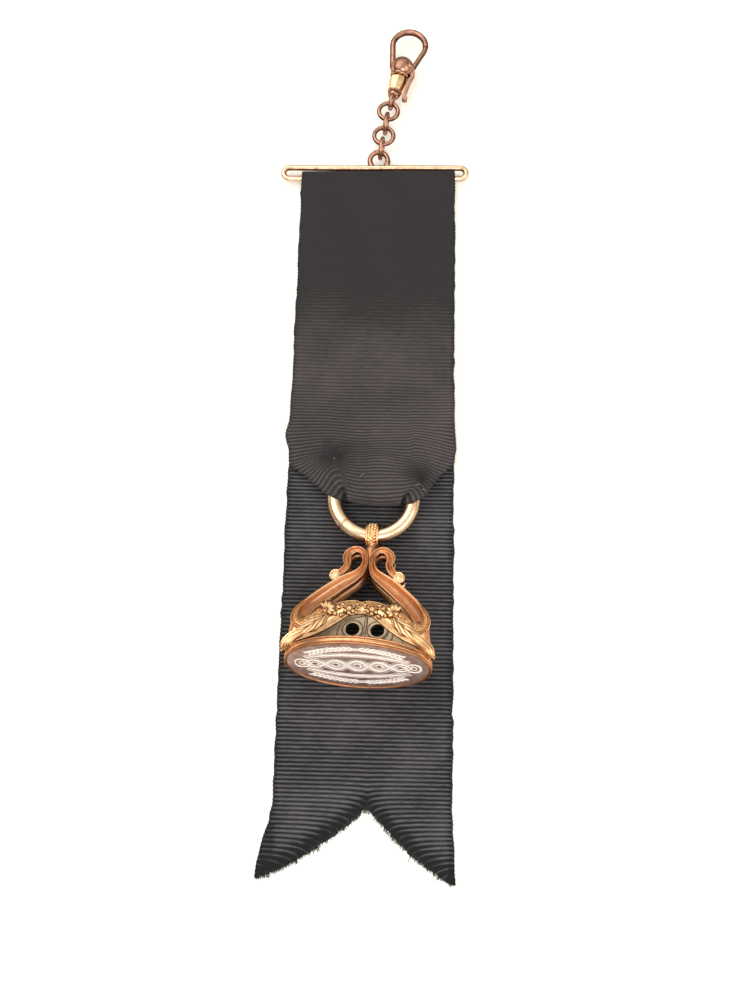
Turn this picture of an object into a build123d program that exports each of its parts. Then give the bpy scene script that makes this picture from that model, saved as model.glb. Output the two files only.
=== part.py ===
from build123d import *
import math
import os

# A ribbon watch fob, lying flat on a table with its seal resting on the ribbon.
# X runs across the ribbon, Y along it towards the chain, Z up from the table.
# The origin is on the ribbon's underside, on its centreline. Lengths are in millimetres.

# Ribbon
RIBBON_WIDTH = 32.0
RIBBON_THICKNESS = 0.55
LAYER_GAP = 0.10
CLOTH_CLEARANCE = 0.25
FOLD_CLEARANCE = 0.20
WIRE_PLACE = 51.3
NOTCH_LENGTH = 127.8
FLARE_LENGTH = 126.0
LEFT_TIP_LENGTH = 140.4
RIGHT_TIP_LENGTH = 140.8
LEFT_FLARE = 2.6
RIGHT_FLARE = 0.5
NOTCH_SIDE = 0.85
TAIL_BOW = 1.3
RING_DROP = 70.75
RING_SIDE = 0.72
TURN_UP_REACH = 5.2
CREST_SETBACK = 1.15

# Tacking thread
THREAD = 0.32
STITCH_LENGTH = 1.9
STITCH_PITCH = 0.55
STITCHES = 4

# Ribbon bar, a long oblong loop of wire with a round eye
BAR_LENGTH = 39.1
BAR_WIRE = 1.10
BAR_SPREAD = 2.60
BAR_SIDE = -0.73
EYE_DIAMETER = 4.70
EYE_WIRE = 1.00
EYE_RISE = 1.25
EYE_SIDE = 0.10

# Chain
LINK_DIAMETER = 4.90
LINK_WIRE = 0.90
LINK_COUNT = 4
LINK_CLEARANCE = 0.05
CHAIN_HEADING = 8.0
SWIVEL_HEADING = 14.0

# Watch swivel
BALL_DIAMETER = 4.90
LOOP_RADIUS = 3.50
LOOP_WIRE = 1.20
LOOP_REACH = 5.90
LEG_ANGLE = 14.5
HOOK_TIP_ANGLE = 6.0
GATE_WIRE = 1.05
GATE_CLEARANCE = 0.08
HUB_RADIUS = 1.00
PIVOT_SIDE = 1.55
PIN_RADIUS = 0.35
RUNNING_CLEARANCE = 0.04
TAIL_LENGTH = 7.30
TAIL_THICKNESS = 0.70
TAIL_GAP = 0.30
THUMB_RADIUS = 0.62
SPRING_LEAF = 0.14
BARREL_TOP = 2.00
BARREL_END = 6.50
BARREL_TOP_RADIUS = 1.80
BARREL_END_RADIUS = 1.30
BARREL_BORE = 1.00
BARREL_FACETS = 8
BARREL_BEAD = 0.22
BARREL_FLOOR = 0.60
SHANK_RADIUS = 0.50
SHANK_RISE = 1.40
RIVET_RADIUS = 0.85
RIVET_HEIGHT = 0.50
DOME_HEIGHT = 1.05
DOME_RADIUS = 1.25
END_GAP = 0.05
SWIVEL_EYE_DIAMETER = 3.60
SWIVEL_EYE_WIRE = 0.90
SWIVEL_EYE_DROP = 8.75

# Ring
RING_RADIUS = 7.40
RING_WIRE = 2.80
RING_SEAM = 0.12
RING_SEAM_ANGLE = 223.0
REST_GAP = 0.05

# Seal
SEAL_HALF_LENGTH = 13.15
SEAL_HALF_DEPTH = 9.00
SEAL_HEIGHT = 27.20
SEAL_YAW = 4.5
SEAL_ROLL = 6.0
BAIL_BORE = 3.40
BAIL_WALL = 0.50
BAIL_WIDTH = 2.40
BAIL_LIP = 0.20
NECK_LENGTH = 2.40
NECK_TOP_RADIUS = 1.10
NECK_END_RADIUS = 0.50
BEAD_RADIUS = 0.38
BEAD_COUNT = 5
BEAD_STEP = 28.0
ARM_WIDTH = 3.20
ARM_DEPTH = 2.30
KNOB_RADIUS = 0.95
KNOB_LENGTH = 1.70
LEAF_WIDTH = 2.90
LEAF_DEPTH = 1.30
ROSETTE_RADIUS = 1.10
ROSETTE_HEIGHT = 0.75
ROSETTE_EYE = 0.50
ROSETTE_PETALS = 6
ROSETTE_DROP = 0.30
GALLERY_THICKNESS = 0.90
GALLERY_HOLE = 2.60
GALLERY_COLLAR = 0.42
GALLERY_COLLAR_RISE = 0.35
GALLERY_HOLE_SIDE = 2.30
GALLERY_HOLE_DROP = 17.8
GALLERY_SETBACK = 4.20
RIM_WIDTH = 1.00
RIM_HEIGHT = 1.60
RIM_ROUND = 0.42
SEAT_GAP = 0.05
FLOOR_THICKNESS = 0.80
FACE_THICKNESS = 0.62
FACE_INSET = 0.10

# Overrun for every cut that has to pass right through
OVERRUN = 1.0

# Scroll arm from its outer knob, round the head, down the sweep and out to the foot. Each
# station is a place across, down and forward, then a width and a depth. The first three are
# shares of the seal's half length, height and half depth, the last two of the arm's own sizes.
ARM_STATION_SHARES = [
    (0.437, 0.3474, 0.111, 0.47, 0.65),
    (0.376, 0.3290, 0.111, 0.42, 0.65),
    (0.321, 0.3015, 0.111, 0.39, 0.65),
    (0.295, 0.2647, 0.111, 0.41, 0.67),
    (0.313, 0.2132, 0.111, 0.50, 0.70),
    (0.270, 0.1673, 0.111, 0.45, 0.70),
    (0.175, 0.1463, 0.111, 0.37, 0.70),
    (0.090, 0.1699, 0.111, 0.34, 0.70),
    (0.052, 0.2132, 0.111, 0.35, 0.70),
    (0.053, 0.2629, 0.111, 0.37, 0.72),
    (0.106, 0.3290, 0.118, 0.56, 0.80),
    (0.300, 0.4118, 0.133, 0.84, 0.91),
    (0.502, 0.5000, 0.156, 0.92, 0.98),
    (0.635, 0.5643, 0.189, 0.91, 0.98),
    (0.745, 0.6342, 0.233, 0.91, 0.98),
    (0.810, 0.6967, 0.267, 0.87, 0.96),
    (0.848, 0.7647, 0.289, 0.77, 0.91),
    (0.863, 0.8309, 0.300, 0.70, 0.87),
    (0.867, 0.8860, 0.306, 0.70, 0.85),
    (0.863, 0.9412, 0.306, 0.75, 0.87),
]

# Acanthus leaf from the middle of the front arch out to the arm
LEAF_STATION_SHARES = [
    (0.011, 0.6415, 0.378, 0.90, 0.86),
    (0.137, 0.6452, 0.383, 1.03, 0.94),
    (0.266, 0.6691, 0.389, 1.16, 1.00),
    (0.395, 0.7169, 0.400, 1.24, 1.00),
    (0.525, 0.7721, 0.417, 1.21, 1.00),
    (0.654, 0.8235, 0.433, 1.03, 0.96),
    (0.776, 0.8640, 0.439, 0.79, 0.88),
    (0.882, 0.8934, 0.417, 0.52, 0.77),
]
ROSETTE_PLACE_SHARE = 0.154

# Section of a scroll as shares of its width and depth: three ridges in front, a rounded back
FLUTE_SHARES = [
    (-0.50, 0.0),
    (-0.42, 0.24),
    (-0.30, 0.34),
    (-0.18, 0.14),
    (-0.09, 0.46),
    (0.09, 0.46),
    (0.18, 0.14),
    (0.30, 0.34),
    (0.42, 0.24),
    (0.50, 0.0),
    (0.30, -0.38),
    (0.0, -0.50),
    (-0.30, -0.38),
]

# Rear gallery's outline, as shares of the seal's half length and height, on its right half
GALLERY_OUTLINE_SHARES = [(0.480, 0.805), (0.760, 0.770), (0.705, 0.690)]
GALLERY_CROWN_SHARE = 0.512
GALLERY_SHOULDER_SHARE = (0.430, 0.562)

# Gathered front ribbon: how far each line along it is lifted over the ring, across its width
BULGE_PLACE_SHARES = [-1.05, -0.78, -0.52, -0.34, 0.05, 0.42, 0.60, 0.82, 1.05]
BULGE_SHARES = [0.0, 0.30, 0.90, 1.0, 1.0, 1.0, 0.92, 0.38, 0.0]
RISE_SHARES = [0.0, 0.12, 0.42, 0.76, 0.96]
LEAD_SHARES = [0.0, 0.25, 0.55, 0.80, 1.0]
SHOULDER_LEFT_SHARE = (0.98, 0.02)
SHOULDER_RIGHT_SHARE = (0.99, -0.04)
CORNER_LEFT_SHARE = (0.975, 0.81)
CORNER_RIGHT_SHARE = (0.985, 0.89)
TONGUE_SHARE = 0.83
TURN_UP_SHARES = [(0.29, 0.30), (0.52, 0.72), (0.86, 1.04)]
TACK_SHARES = [(-0.86, 0.90, 35.0), (0.96, 0.17, -50.0)]

# Worked out from the sizes above
HALF_WIDTH = RIBBON_WIDTH / 2
WIRE_RADIUS = BAR_WIRE / 2
FOLD_INNER = WIRE_RADIUS + FOLD_CLEARANCE
FOLD_OUTER = FOLD_INNER + RIBBON_THICKNESS
WIRE_HEIGHT = FOLD_OUTER
SHEET_LOW = RIBBON_THICKNESS * 1.5 + LAYER_GAP
SHEET_OVER = SHEET_LOW + RIBBON_THICKNESS + LAYER_GAP
SHEET_TOP = WIRE_HEIGHT + FOLD_INNER + RIBBON_THICKNESS / 2
RING_TUBE = RING_WIRE / 2
RING_OUTER = RING_RADIUS + RING_TUBE
RING_HOLE = RING_RADIUS - RING_TUBE
RING_LEVEL = RIBBON_THICKNESS + REST_GAP + BAIL_BORE / 2 + BAIL_WALL + BAIL_LIP
RING_Y = WIRE_PLACE - RING_DROP
SHEET_CREST = RING_LEVEL + RING_TUBE + CLOTH_CLEARANCE + RIBBON_THICKNESS / 2
CREST_Y = RING_Y + CREST_SETBACK
TURN_UP_Y = RING_Y + RING_OUTER + TURN_UP_REACH
CHAIN_HEIGHT = BALL_DIAMETER / 2
EYE_RADIUS = (EYE_DIAMETER - EYE_WIRE) / 2
LINK_RADIUS = (LINK_DIAMETER - LINK_WIRE) / 2
SWIVEL_EYE_RADIUS = (SWIVEL_EYE_DIAMETER - SWIVEL_EYE_WIRE) / 2
BAIL_RADIUS = BAIL_BORE / 2 + BAIL_WALL


def heading(degrees):
    """Level direction at an angle to the right of +Y."""
    angle = math.radians(degrees)
    return Vector(math.sin(angle), math.cos(angle), 0)


def bar_tilt():
    """Angle by which the bar rises towards the chain, so that its eye meets the first link."""
    reach = BAR_SPREAD + EYE_RISE + EYE_RADIUS * math.cos(math.radians(CHAIN_HEADING))
    return math.degrees(math.asin((CHAIN_HEIGHT - WIRE_HEIGHT) / reach))


def bar_place():
    """Frame of the bar: its lower wire on the X axis, its top wire along +Y."""
    return Pos(0, WIRE_PLACE, WIRE_HEIGHT) * Rot(bar_tilt(), 0, 0)


def bar_eye_middle():
    """Middle of the round eye on the bar."""
    tilt = math.radians(bar_tilt())
    reach = BAR_SPREAD + EYE_RISE
    return Vector(
        EYE_SIDE,
        WIRE_PLACE + reach * math.cos(tilt),
        WIRE_HEIGHT + reach * math.sin(tilt),
    )


def chain_contacts():
    """Middle of the wire that each link, and then the swivel's eye, hangs on."""
    tilt = math.radians(bar_tilt())
    turn = math.radians(CHAIN_HEADING)
    along = EYE_RADIUS * math.cos(turn)
    first = bar_eye_middle() + Vector(
        EYE_RADIUS * math.sin(turn), along * math.cos(tilt), along * math.sin(tilt)
    )
    contacts = [first]
    for middle in link_middles(first)[:-1]:
        contacts.append(middle + heading(CHAIN_HEADING) * LINK_RADIUS)
    last = link_middles(first)[-1]
    contacts.append(last + heading(SWIVEL_HEADING) * LINK_RADIUS)
    return contacts


def link_middles(first):
    """Middles of the links, each pulled tight on the one before it."""
    middles = []
    contact = first
    wire = EYE_WIRE
    for _ in range(LINK_COUNT):
        seat = (wire + LINK_WIRE) / 2 + LINK_CLEARANCE
        middle = contact + heading(CHAIN_HEADING) * (LINK_RADIUS - seat)
        middles.append(middle)
        contact = middle + heading(CHAIN_HEADING) * LINK_RADIUS
        wire = LINK_WIRE
    return middles


def ball_middle():
    """Middle of the swivel's ball."""
    seat = (LINK_WIRE + SWIVEL_EYE_WIRE) / 2 + LINK_CLEARANCE
    reach = SWIVEL_EYE_RADIUS - seat + SWIVEL_EYE_DROP
    return chain_contacts()[-1] + heading(SWIVEL_HEADING) * reach


def swivel_place():
    """Frame of the swivel: the ball at its origin, the hook along +Y, the gate on +X."""
    middle = ball_middle()
    return Pos(middle.X, middle.Y, middle.Z) * Rot(0, 0, -SWIVEL_HEADING)


def bail_middle():
    """Middle of the ring's wire where the seal hangs on it."""
    return Vector(RING_SIDE, RING_Y - RING_RADIUS, RING_LEVEL)


def seal_tilt():
    """Angle of the seal's axis above the ribbon, with the edge of its base at rest on it."""
    roll = math.radians(SEAL_ROLL)
    reach = math.hypot(
        SEAL_HALF_DEPTH * math.cos(roll), SEAL_HALF_LENGTH * math.sin(roll)
    )
    drop = SEAL_HEIGHT - RIM_HEIGHT
    fall = bail_middle().Z - RIBBON_THICKNESS - REST_GAP
    angle = math.atan2(reach, drop) - math.asin(fall / math.hypot(reach, drop))
    return math.degrees(angle)


def seal_place():
    """Frame of the seal: the bail at its origin, the base along -Z, its front along -Y."""
    middle = bail_middle()
    turned = Rot(0, 0, -SEAL_YAW) * Rot(-90 - seal_tilt(), 0, 0) * Rot(0, 0, -SEAL_ROLL)
    return Pos(middle.X, middle.Y, middle.Z) * turned


def blend_share(places, values, place):
    """Value at a place between listed places, in straight lines."""
    for index in range(len(places) - 1):
        if place <= places[index + 1]:
            span = places[index + 1] - places[index]
            share = max(place - places[index], 0) / span
            return values[index] + (values[index + 1] - values[index]) * share
    return values[-1]


# Ribbon


def ribbon_back():
    """Long layer that lies on the table, cut to a swallow tail with bowed edges."""
    notch = Vector(NOTCH_SIDE, WIRE_PLACE - NOTCH_LENGTH)
    flare_y = WIRE_PLACE - FLARE_LENGTH
    left_tip = Vector(-HALF_WIDTH - LEFT_FLARE, WIRE_PLACE - LEFT_TIP_LENGTH)
    right_tip = Vector(HALF_WIDTH + RIGHT_FLARE, WIRE_PLACE - RIGHT_TIP_LENGTH)
    bow = Vector(0, -TAIL_BOW)
    outline = [
        Line((-HALF_WIDTH, WIRE_PLACE), (-HALF_WIDTH, flare_y)),
        Line((-HALF_WIDTH, flare_y), left_tip),
        ThreePointArc(left_tip, (left_tip + notch) / 2 + bow, notch),
        ThreePointArc(notch, (right_tip + notch) / 2 + bow, right_tip),
        Line(right_tip, (HALF_WIDTH, flare_y)),
        Line((HALF_WIDTH, flare_y), (HALF_WIDTH, WIRE_PLACE)),
        Line((HALF_WIDTH, WIRE_PLACE), (-HALF_WIDTH, WIRE_PLACE)),
    ]
    return extrude(make_face(outline), RIBBON_THICKNESS, dir=(0, 0, 1))


def half_pipe(outer, inner, left, right, middle, side):
    """Half of a pipe along X, on the +Y or the -Y side of its middle."""
    across = Plane(origin=(left, middle.Y, middle.Z), x_dir=(0, 1, 0), z_dir=(1, 0, 0))
    section = Circle(outer) - Circle(inner)
    keep = Pos(side * outer / 2, 0) * Rectangle(outer, outer * 2)
    return extrude(across * (section & keep), right - left)


def ribbon_fold():
    """Turn of the ribbon round the bar's lower wire."""
    middle = Vector(0, WIRE_PLACE, WIRE_HEIGHT)
    return half_pipe(FOLD_OUTER, FOLD_INNER, -HALF_WIDTH, HALF_WIDTH, middle, 1)


def sheet_line(share):
    """Middle line of the front layer at a share of its half width: points of Y and height."""
    lift = blend_share(BULGE_PLACE_SHARES, BULGE_SHARES, share)
    crest = SHEET_OVER + (SHEET_CREST - SHEET_OVER) * lift
    lead = 2 * FOLD_OUTER + RIBBON_WIDTH / 4
    points = []
    for step in LEAD_SHARES:
        ease = step * step * (3 - 2 * step)
        points.append((WIRE_PLACE - lead * step, SHEET_TOP + (SHEET_LOW - SHEET_TOP) * ease))
    points.append((TURN_UP_Y + RIBBON_WIDTH / 10, SHEET_LOW))
    foot = TURN_UP_Y - RIBBON_THICKNESS
    brow = RING_Y + RING_RADIUS
    for step in RISE_SHARES:
        points.append((foot + (brow - foot) * step, SHEET_OVER + (crest - SHEET_OVER) * step))
    points.append((brow, crest))
    points.append((CREST_Y, crest))
    points.append((RING_Y - CREST_SETBACK, crest))
    return points


def sheet_height(x, y):
    """Height of the front layer's middle at a place on it."""
    line = sheet_line(x / HALF_WIDTH)
    places = [-point[0] for point in line]
    return blend_share(places, [point[1] for point in line], -y)


def front_outline():
    """Plan of the front layer, with its corners drawn in to the ring."""
    left, right = SHOULDER_LEFT_SHARE, SHOULDER_RIGHT_SHARE
    tongue = RING_HOLE * TONGUE_SHARE
    points = [
        (HALF_WIDTH, WIRE_PLACE),
        (-HALF_WIDTH, WIRE_PLACE),
        (-HALF_WIDTH, TURN_UP_Y),
        (-HALF_WIDTH * CORNER_LEFT_SHARE[0], RING_Y + RING_OUTER * CORNER_LEFT_SHARE[1]),
        (RING_SIDE - RING_OUTER * left[0], RING_Y + RING_OUTER * left[1]),
        (RING_SIDE - tongue, RING_Y + RING_OUTER * left[1]),
        (RING_SIDE - tongue, CREST_Y),
        (RING_SIDE + tongue, CREST_Y),
        (RING_SIDE + tongue, RING_Y + RING_OUTER * right[1]),
        (RING_SIDE + RING_OUTER * right[0], RING_Y + RING_OUTER * right[1]),
        (HALF_WIDTH * CORNER_RIGHT_SHARE[0], RING_Y + RING_OUTER * CORNER_RIGHT_SHARE[1]),
        (HALF_WIDTH, TURN_UP_Y),
    ]
    return make_face(Polyline(*points, close=True))


def front_sheet():
    """Front layer from the fold down over the top of the ring."""
    half = RIBBON_THICKNESS / 2
    sections = []
    for share in BULGE_PLACE_SHARES:
        x = share * HALF_WIDTH
        line = sheet_line(share)
        over = [(x, y, z + half) for y, z in line]
        under = [(x, y, z - half) for y, z in reversed(line)]
        sections.append(make_face(Polyline(*over, *under, close=True)))
    sheet = loft(sections, ruled=True)
    return sheet & extrude(front_outline(), SHEET_CREST + OVERRUN, dir=(0, 0, 1))


def turn_up():
    """End of the ribbon that is passed through the ring and sewn up behind."""
    tongue = RING_HOLE * TONGUE_SHARE
    right = [(RING_SIDE + tongue, CREST_Y)]
    for across, along in TURN_UP_SHARES:
        right.append((HALF_WIDTH * across + RING_SIDE, RING_Y + RING_OUTER * along))
    right.append((HALF_WIDTH, TURN_UP_Y - RIBBON_THICKNESS))
    left = [(2 * RING_SIDE - x, y) for x, y in right[:-1]]
    left.append((-HALF_WIDTH - RIBBON_THICKNESS, TURN_UP_Y - RIBBON_THICKNESS))
    plan = make_face(Polyline(*right, *reversed(left), close=True))
    lowest = SHEET_LOW - RIBBON_THICKNESS / 2
    return extrude(Pos(0, 0, lowest) * plan, RIBBON_THICKNESS, dir=(0, 0, 1))


def ribbon_front():
    """Short front layer: over the ring, down through it, and turned up behind."""
    tongue = RING_HOLE * TONGUE_SHARE
    turn = (SHEET_CREST - SHEET_LOW) / 2
    middle = Vector(0, CREST_Y, SHEET_LOW + turn)
    outer = turn + RIBBON_THICKNESS / 2
    inner = turn - RIBBON_THICKNESS / 2
    swag = half_pipe(outer, inner, RING_SIDE - tongue, RING_SIDE + tongue, middle, -1)
    return front_sheet() + swag + turn_up()


def tack_stitches():
    """Tacking thread that holds the gathers, in two groups of short stitches."""
    stitches = []
    for across, along, turn in TACK_SHARES:
        for index in range(STITCHES):
            shift = (index - (STITCHES - 1) / 2) * STITCH_PITCH
            angle = math.radians(turn)
            x = RING_SIDE + RING_OUTER * across - shift * math.sin(angle)
            y = RING_Y + RING_OUTER * along + shift * math.cos(angle)
            ends = []
            for side in (-1, 1):
                reach = side * STITCH_LENGTH / 2
                place = Vector(x + reach * math.cos(angle), y + reach * math.sin(angle))
                rise = RIBBON_THICKNESS * 0.8 + THREAD / 2
                ends.append(place + Vector(0, 0, sheet_height(place.X, place.Y) + rise))
            run = Line(ends[0], ends[1])
            stitches.append(sweep(Plane(ends[0], z_dir=run % 0) * Circle(THREAD / 2), run))
    return Compound(children=stitches)


# Bar and chain


def ribbon_bar():
    """Oblong loop of wire that the ribbon is folded over."""
    run = BAR_LENGTH - BAR_SPREAD - BAR_WIRE
    half_run = run / 2
    bend = BAR_SPREAD / 2
    path = Wire(
        [
            Line((-half_run, 0), (half_run, 0)),
            CenterArc((half_run, bend), bend, -90, 180),
            Line((half_run, BAR_SPREAD), (-half_run, BAR_SPREAD)),
            CenterArc((-half_run, bend), bend, 90, 180),
        ]
    )
    section = Plane(path @ 0, z_dir=path % 0) * Circle(WIRE_RADIUS)
    return bar_place() * Pos(BAR_SIDE, 0, 0) * sweep(section, path)


def bar_eye():
    """Round eye soldered on the bar's top wire."""
    ring = Torus(EYE_RADIUS, EYE_WIRE / 2)
    block = Pos(0, -EYE_RISE - EYE_DIAMETER / 2, 0) * Box(
        EYE_DIAMETER * 2, EYE_DIAMETER, EYE_DIAMETER
    )
    eye = Pos(EYE_SIDE, BAR_SPREAD + EYE_RISE, 0) * (ring - block)
    return bar_place() * eye - ribbon_bar()


def chain_link(index):
    """One round link. Links lie flat and stand on edge by turns."""
    middle = link_middles(chain_contacts()[0])[index]
    on_edge = 90 if index % 2 == 0 else 0
    turned = Rot(0, 0, -CHAIN_HEADING) * Rot(0, on_edge, 0)
    return Pos(middle.X, middle.Y, middle.Z) * turned * Torus(LINK_RADIUS, LINK_WIRE / 2)


# Watch swivel


def about_y(profile):
    """Solid turned about the swivel's long axis from a closed half profile."""
    return revolve(make_face(Polyline(*profile, close=True)), Axis.Y)


def leg_point(side, along):
    """Place on the straight middle line of one leg of the loop."""
    slope = math.tan(math.radians(LEG_ANGLE))
    base = LOOP_RADIUS / math.cos(math.radians(LEG_ANGLE)) - LOOP_REACH * slope
    return Vector(side * (base + along * slope), along, 0)


def loop_point(degrees):
    """Place on the round middle line of the loop."""
    angle = math.radians(degrees)
    return Vector(LOOP_RADIUS * math.cos(angle), LOOP_REACH + LOOP_RADIUS * math.sin(angle), 0)


def tip_block(side):
    """Block that trims the hook or the gate at the tip, square to the gate's swing."""
    tip = loop_point(HOOK_TIP_ANGLE)
    turn = math.degrees(math.atan2(tip.X - PIVOT_SIDE, tip.Y))
    size = 3 * LOOP_WIRE
    shift = side * (size - GATE_CLEARANCE) / 2
    return Pos(tip.X, tip.Y, 0) * Rot(0, 0, -turn) * Pos(0, shift, 0) * Box(size, size, size)


def swivel_hook():
    """Fixed side of the pear-shaped loop, from the ball over the top to its tip."""
    start = leg_point(-1, -BALL_DIAMETER / 10)
    crown = CenterArc((0, LOOP_REACH, 0), LOOP_RADIUS, 180 + LEG_ANGLE, -180 - LEG_ANGLE)
    path = Wire([Line(start, crown @ 0), crown])
    hook = sweep(Plane(start, z_dir=path % 0) * Circle(LOOP_WIRE / 2), path)
    return hook - tip_block(-1)


def slot_half():
    """Half the width of the slot that the gate moves in."""
    return GATE_WIRE / 2 + GATE_CLEARANCE


def gate_tail_inner():
    """Distance from the swivel's axis to the inner side of the gate's tail, at its end."""
    return BARREL_END_RADIUS + BARREL_BEAD + TAIL_GAP


def swivel_body():
    """Ball that carries the loop, with a slot for the gate."""
    ball = Rot(90, 0, 0) * Sphere(BALL_DIAMETER / 2)
    slot_left = PIVOT_SIDE - HUB_RADIUS - SPRING_LEAF - 2 * GATE_CLEARANCE
    slot = Pos(slot_left + BALL_DIAMETER / 2, 0, 0) * Box(
        BALL_DIAMETER, BALL_DIAMETER + OVERRUN, 2 * slot_half()
    )
    below = Pos(0, -BARREL_TOP - BALL_DIAMETER / 2, 0) * Box(
        BALL_DIAMETER, BALL_DIAMETER, BALL_DIAMETER
    )
    pin = Pos(PIVOT_SIDE, 0, 0) * Cylinder(PIN_RADIUS, BALL_DIAMETER)
    return ball - slot - below - pin - swivel_hook()


def swivel_gate():
    """Sprung lever: an arm that closes the loop, a hub in the ball and a thumb tail."""
    start = 3 * HOOK_TIP_ANGLE
    crown = CenterArc((0, LOOP_REACH, 0), LOOP_RADIUS, start, -LEG_ANGLE - start)
    path = Wire([crown, Line(crown @ 1, leg_point(1, HUB_RADIUS / 2))])
    gate = sweep(Plane(path @ 0, z_dir=path % 0) * Circle(GATE_WIRE / 2), path)
    gate += Pos(PIVOT_SIDE, 0, 0) * Cylinder(HUB_RADIUS, GATE_WIRE)
    inner = gate_tail_inner()
    knee = BALL_DIAMETER / 2 - TAIL_THICKNESS / 4
    drop = BALL_DIAMETER / 4
    outline = [
        (PIVOT_SIDE, HUB_RADIUS * 0.9),
        (PIVOT_SIDE + HUB_RADIUS, 0),
        (knee + TAIL_THICKNESS, -drop),
        (inner + TAIL_THICKNESS, -TAIL_LENGTH),
        (inner, -TAIL_LENGTH),
        (knee, -drop - TAIL_THICKNESS / 2),
        (PIVOT_SIDE, -HUB_RADIUS * 0.9),
    ]
    plate = make_face(Polyline(*outline, close=True))
    gate += extrude(plate, GATE_WIRE / 2, both=True)
    thumb = Pos(inner + THUMB_RADIUS, -TAIL_LENGTH, 0) * Cylinder(THUMB_RADIUS, GATE_WIRE)
    gate = gate + thumb - tip_block(1)
    return gate - Pos(PIVOT_SIDE, 0, 0) * Cylinder(PIN_RADIUS + RUNNING_CLEARANCE, BALL_DIAMETER)


def gate_pin():
    """Pin that the gate turns on."""
    half = math.sqrt((BALL_DIAMETER / 2) ** 2 - (PIVOT_SIDE + PIN_RADIUS) ** 2)
    return Pos(PIVOT_SIDE, 0, 0) * Cylinder(PIN_RADIUS, 2 * half)


def gate_spring():
    """Leaf spring that stands on the slot's floor behind the hub."""
    left = PIVOT_SIDE - HUB_RADIUS - SPRING_LEAF - GATE_CLEARANCE
    length = BALL_DIAMETER - 2 * HUB_RADIUS
    return Pos(left + SPRING_LEAF / 2, 0, 0) * Box(SPRING_LEAF, length, GATE_WIRE)


def swivel_barrel():
    """Faceted tapering barrel with a bead at each end, bored for the shank."""
    beads = []
    for place, radius in (
        (BARREL_TOP, BARREL_TOP_RADIUS),
        (BARREL_END, BARREL_END_RADIUS),
    ):
        inward = BARREL_BEAD if place == BARREL_TOP else -BARREL_BEAD
        profile = [
            (0, -place),
            (radius + BARREL_BEAD / 2, -place),
            (radius + BARREL_BEAD, -place - inward),
            (radius + BARREL_BEAD / 2, -place - 2 * inward),
            (0, -place - 2 * inward),
        ]
        beads.append(about_y(profile))
    top = Plane(origin=(0, -BARREL_TOP, 0), z_dir=(0, -1, 0))
    end = Plane(origin=(0, -BARREL_END, 0), z_dir=(0, -1, 0))
    barrel = loft(
        [
            top * RegularPolygon(BARREL_TOP_RADIUS, BARREL_FACETS),
            end * RegularPolygon(BARREL_END_RADIUS, BARREL_FACETS),
        ]
    )
    barrel = barrel + beads[0] + beads[1]
    floor = BARREL_END - BARREL_FLOOR
    bore = [(0, 0), (BARREL_BORE, 0), (BARREL_BORE, -floor), (0, -floor)]
    hole = [
        (0, 0),
        (SHANK_RADIUS + RUNNING_CLEARANCE, 0),
        (SHANK_RADIUS + RUNNING_CLEARANCE, -BARREL_END - OVERRUN),
        (0, -BARREL_END - OVERRUN),
    ]
    return barrel - about_y(bore) - about_y(hole)


def swivel_eye():
    """Turning end: a shank, a domed collar and the eye that the chain hangs on."""
    top = BARREL_END + END_GAP
    shank_top = BARREL_END - BARREL_FLOOR - SHANK_RISE + RIVET_HEIGHT
    turned = [
        (0, -shank_top),
        (SHANK_RADIUS, -shank_top),
        (SHANK_RADIUS, -top),
        (DOME_RADIUS, -top),
        (DOME_RADIUS, -top - DOME_HEIGHT / 3),
        (DOME_RADIUS * 0.85, -top - DOME_HEIGHT * 0.7),
        (DOME_RADIUS * 0.5, -top - DOME_HEIGHT),
        (0, -top - DOME_HEIGHT),
    ]
    eye = Pos(0, -SWIVEL_EYE_DROP, 0) * Rot(0, 90, 0) * Torus(
        SWIVEL_EYE_RADIUS, SWIVEL_EYE_WIRE / 2
    )
    return about_y(turned) + eye


def shank_rivet():
    """Washer riveted on the shank inside the barrel."""
    low = BARREL_END - BARREL_FLOOR - END_GAP
    high = low - RIVET_HEIGHT
    washer = [
        (SHANK_RADIUS, -low),
        (RIVET_RADIUS, -low),
        (RIVET_RADIUS, -high),
        (SHANK_RADIUS, -high),
    ]
    return about_y(washer)


# Ring


def split_ring():
    """Round-wire ring with a fine butt joint."""
    seam = math.degrees(RING_SEAM / RING_RADIUS)
    ring = Torus(RING_RADIUS, RING_TUBE, major_angle=360 - seam)
    return Pos(RING_SIDE, RING_Y, RING_LEVEL) * Rot(0, 0, RING_SEAM_ANGLE + seam / 2) * ring


# Seal


def seal_point(across, down, forward):
    """Place on the seal from shares of its half length, height and half depth."""
    return Vector(
        across * SEAL_HALF_LENGTH, -forward * SEAL_HALF_DEPTH, -down * SEAL_HEIGHT
    )


def fluted_section(place, run, width, depth):
    """Section of a scroll, square to its run, with its flutes facing the seal's front."""
    front = Vector(0, -1, 0)
    front = (front - run * front.dot(run)).normalized()
    across = front.cross(run).normalized()
    points = [
        place + across * (side * width) + front * (rise * depth) for side, rise in FLUTE_SHARES
    ]
    return make_face(Polyline(*points, close=True))


def fluted_band(shares, width, depth, flat_end=False):
    """Scroll band through its stations, each with its own width and depth."""
    points = [seal_point(*station[:3]) for station in shares]
    path = Spline(*points)
    sections = []
    for index, (point, station) in enumerate(zip(points, shares)):
        run = path.tangent_at(path.param_at_point(point))
        if flat_end and index == len(points) - 1:
            run = Vector(0, 0, -1)
        sections.append(fluted_section(point, run, width * station[3], depth * station[4]))
    return loft(sections)


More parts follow.
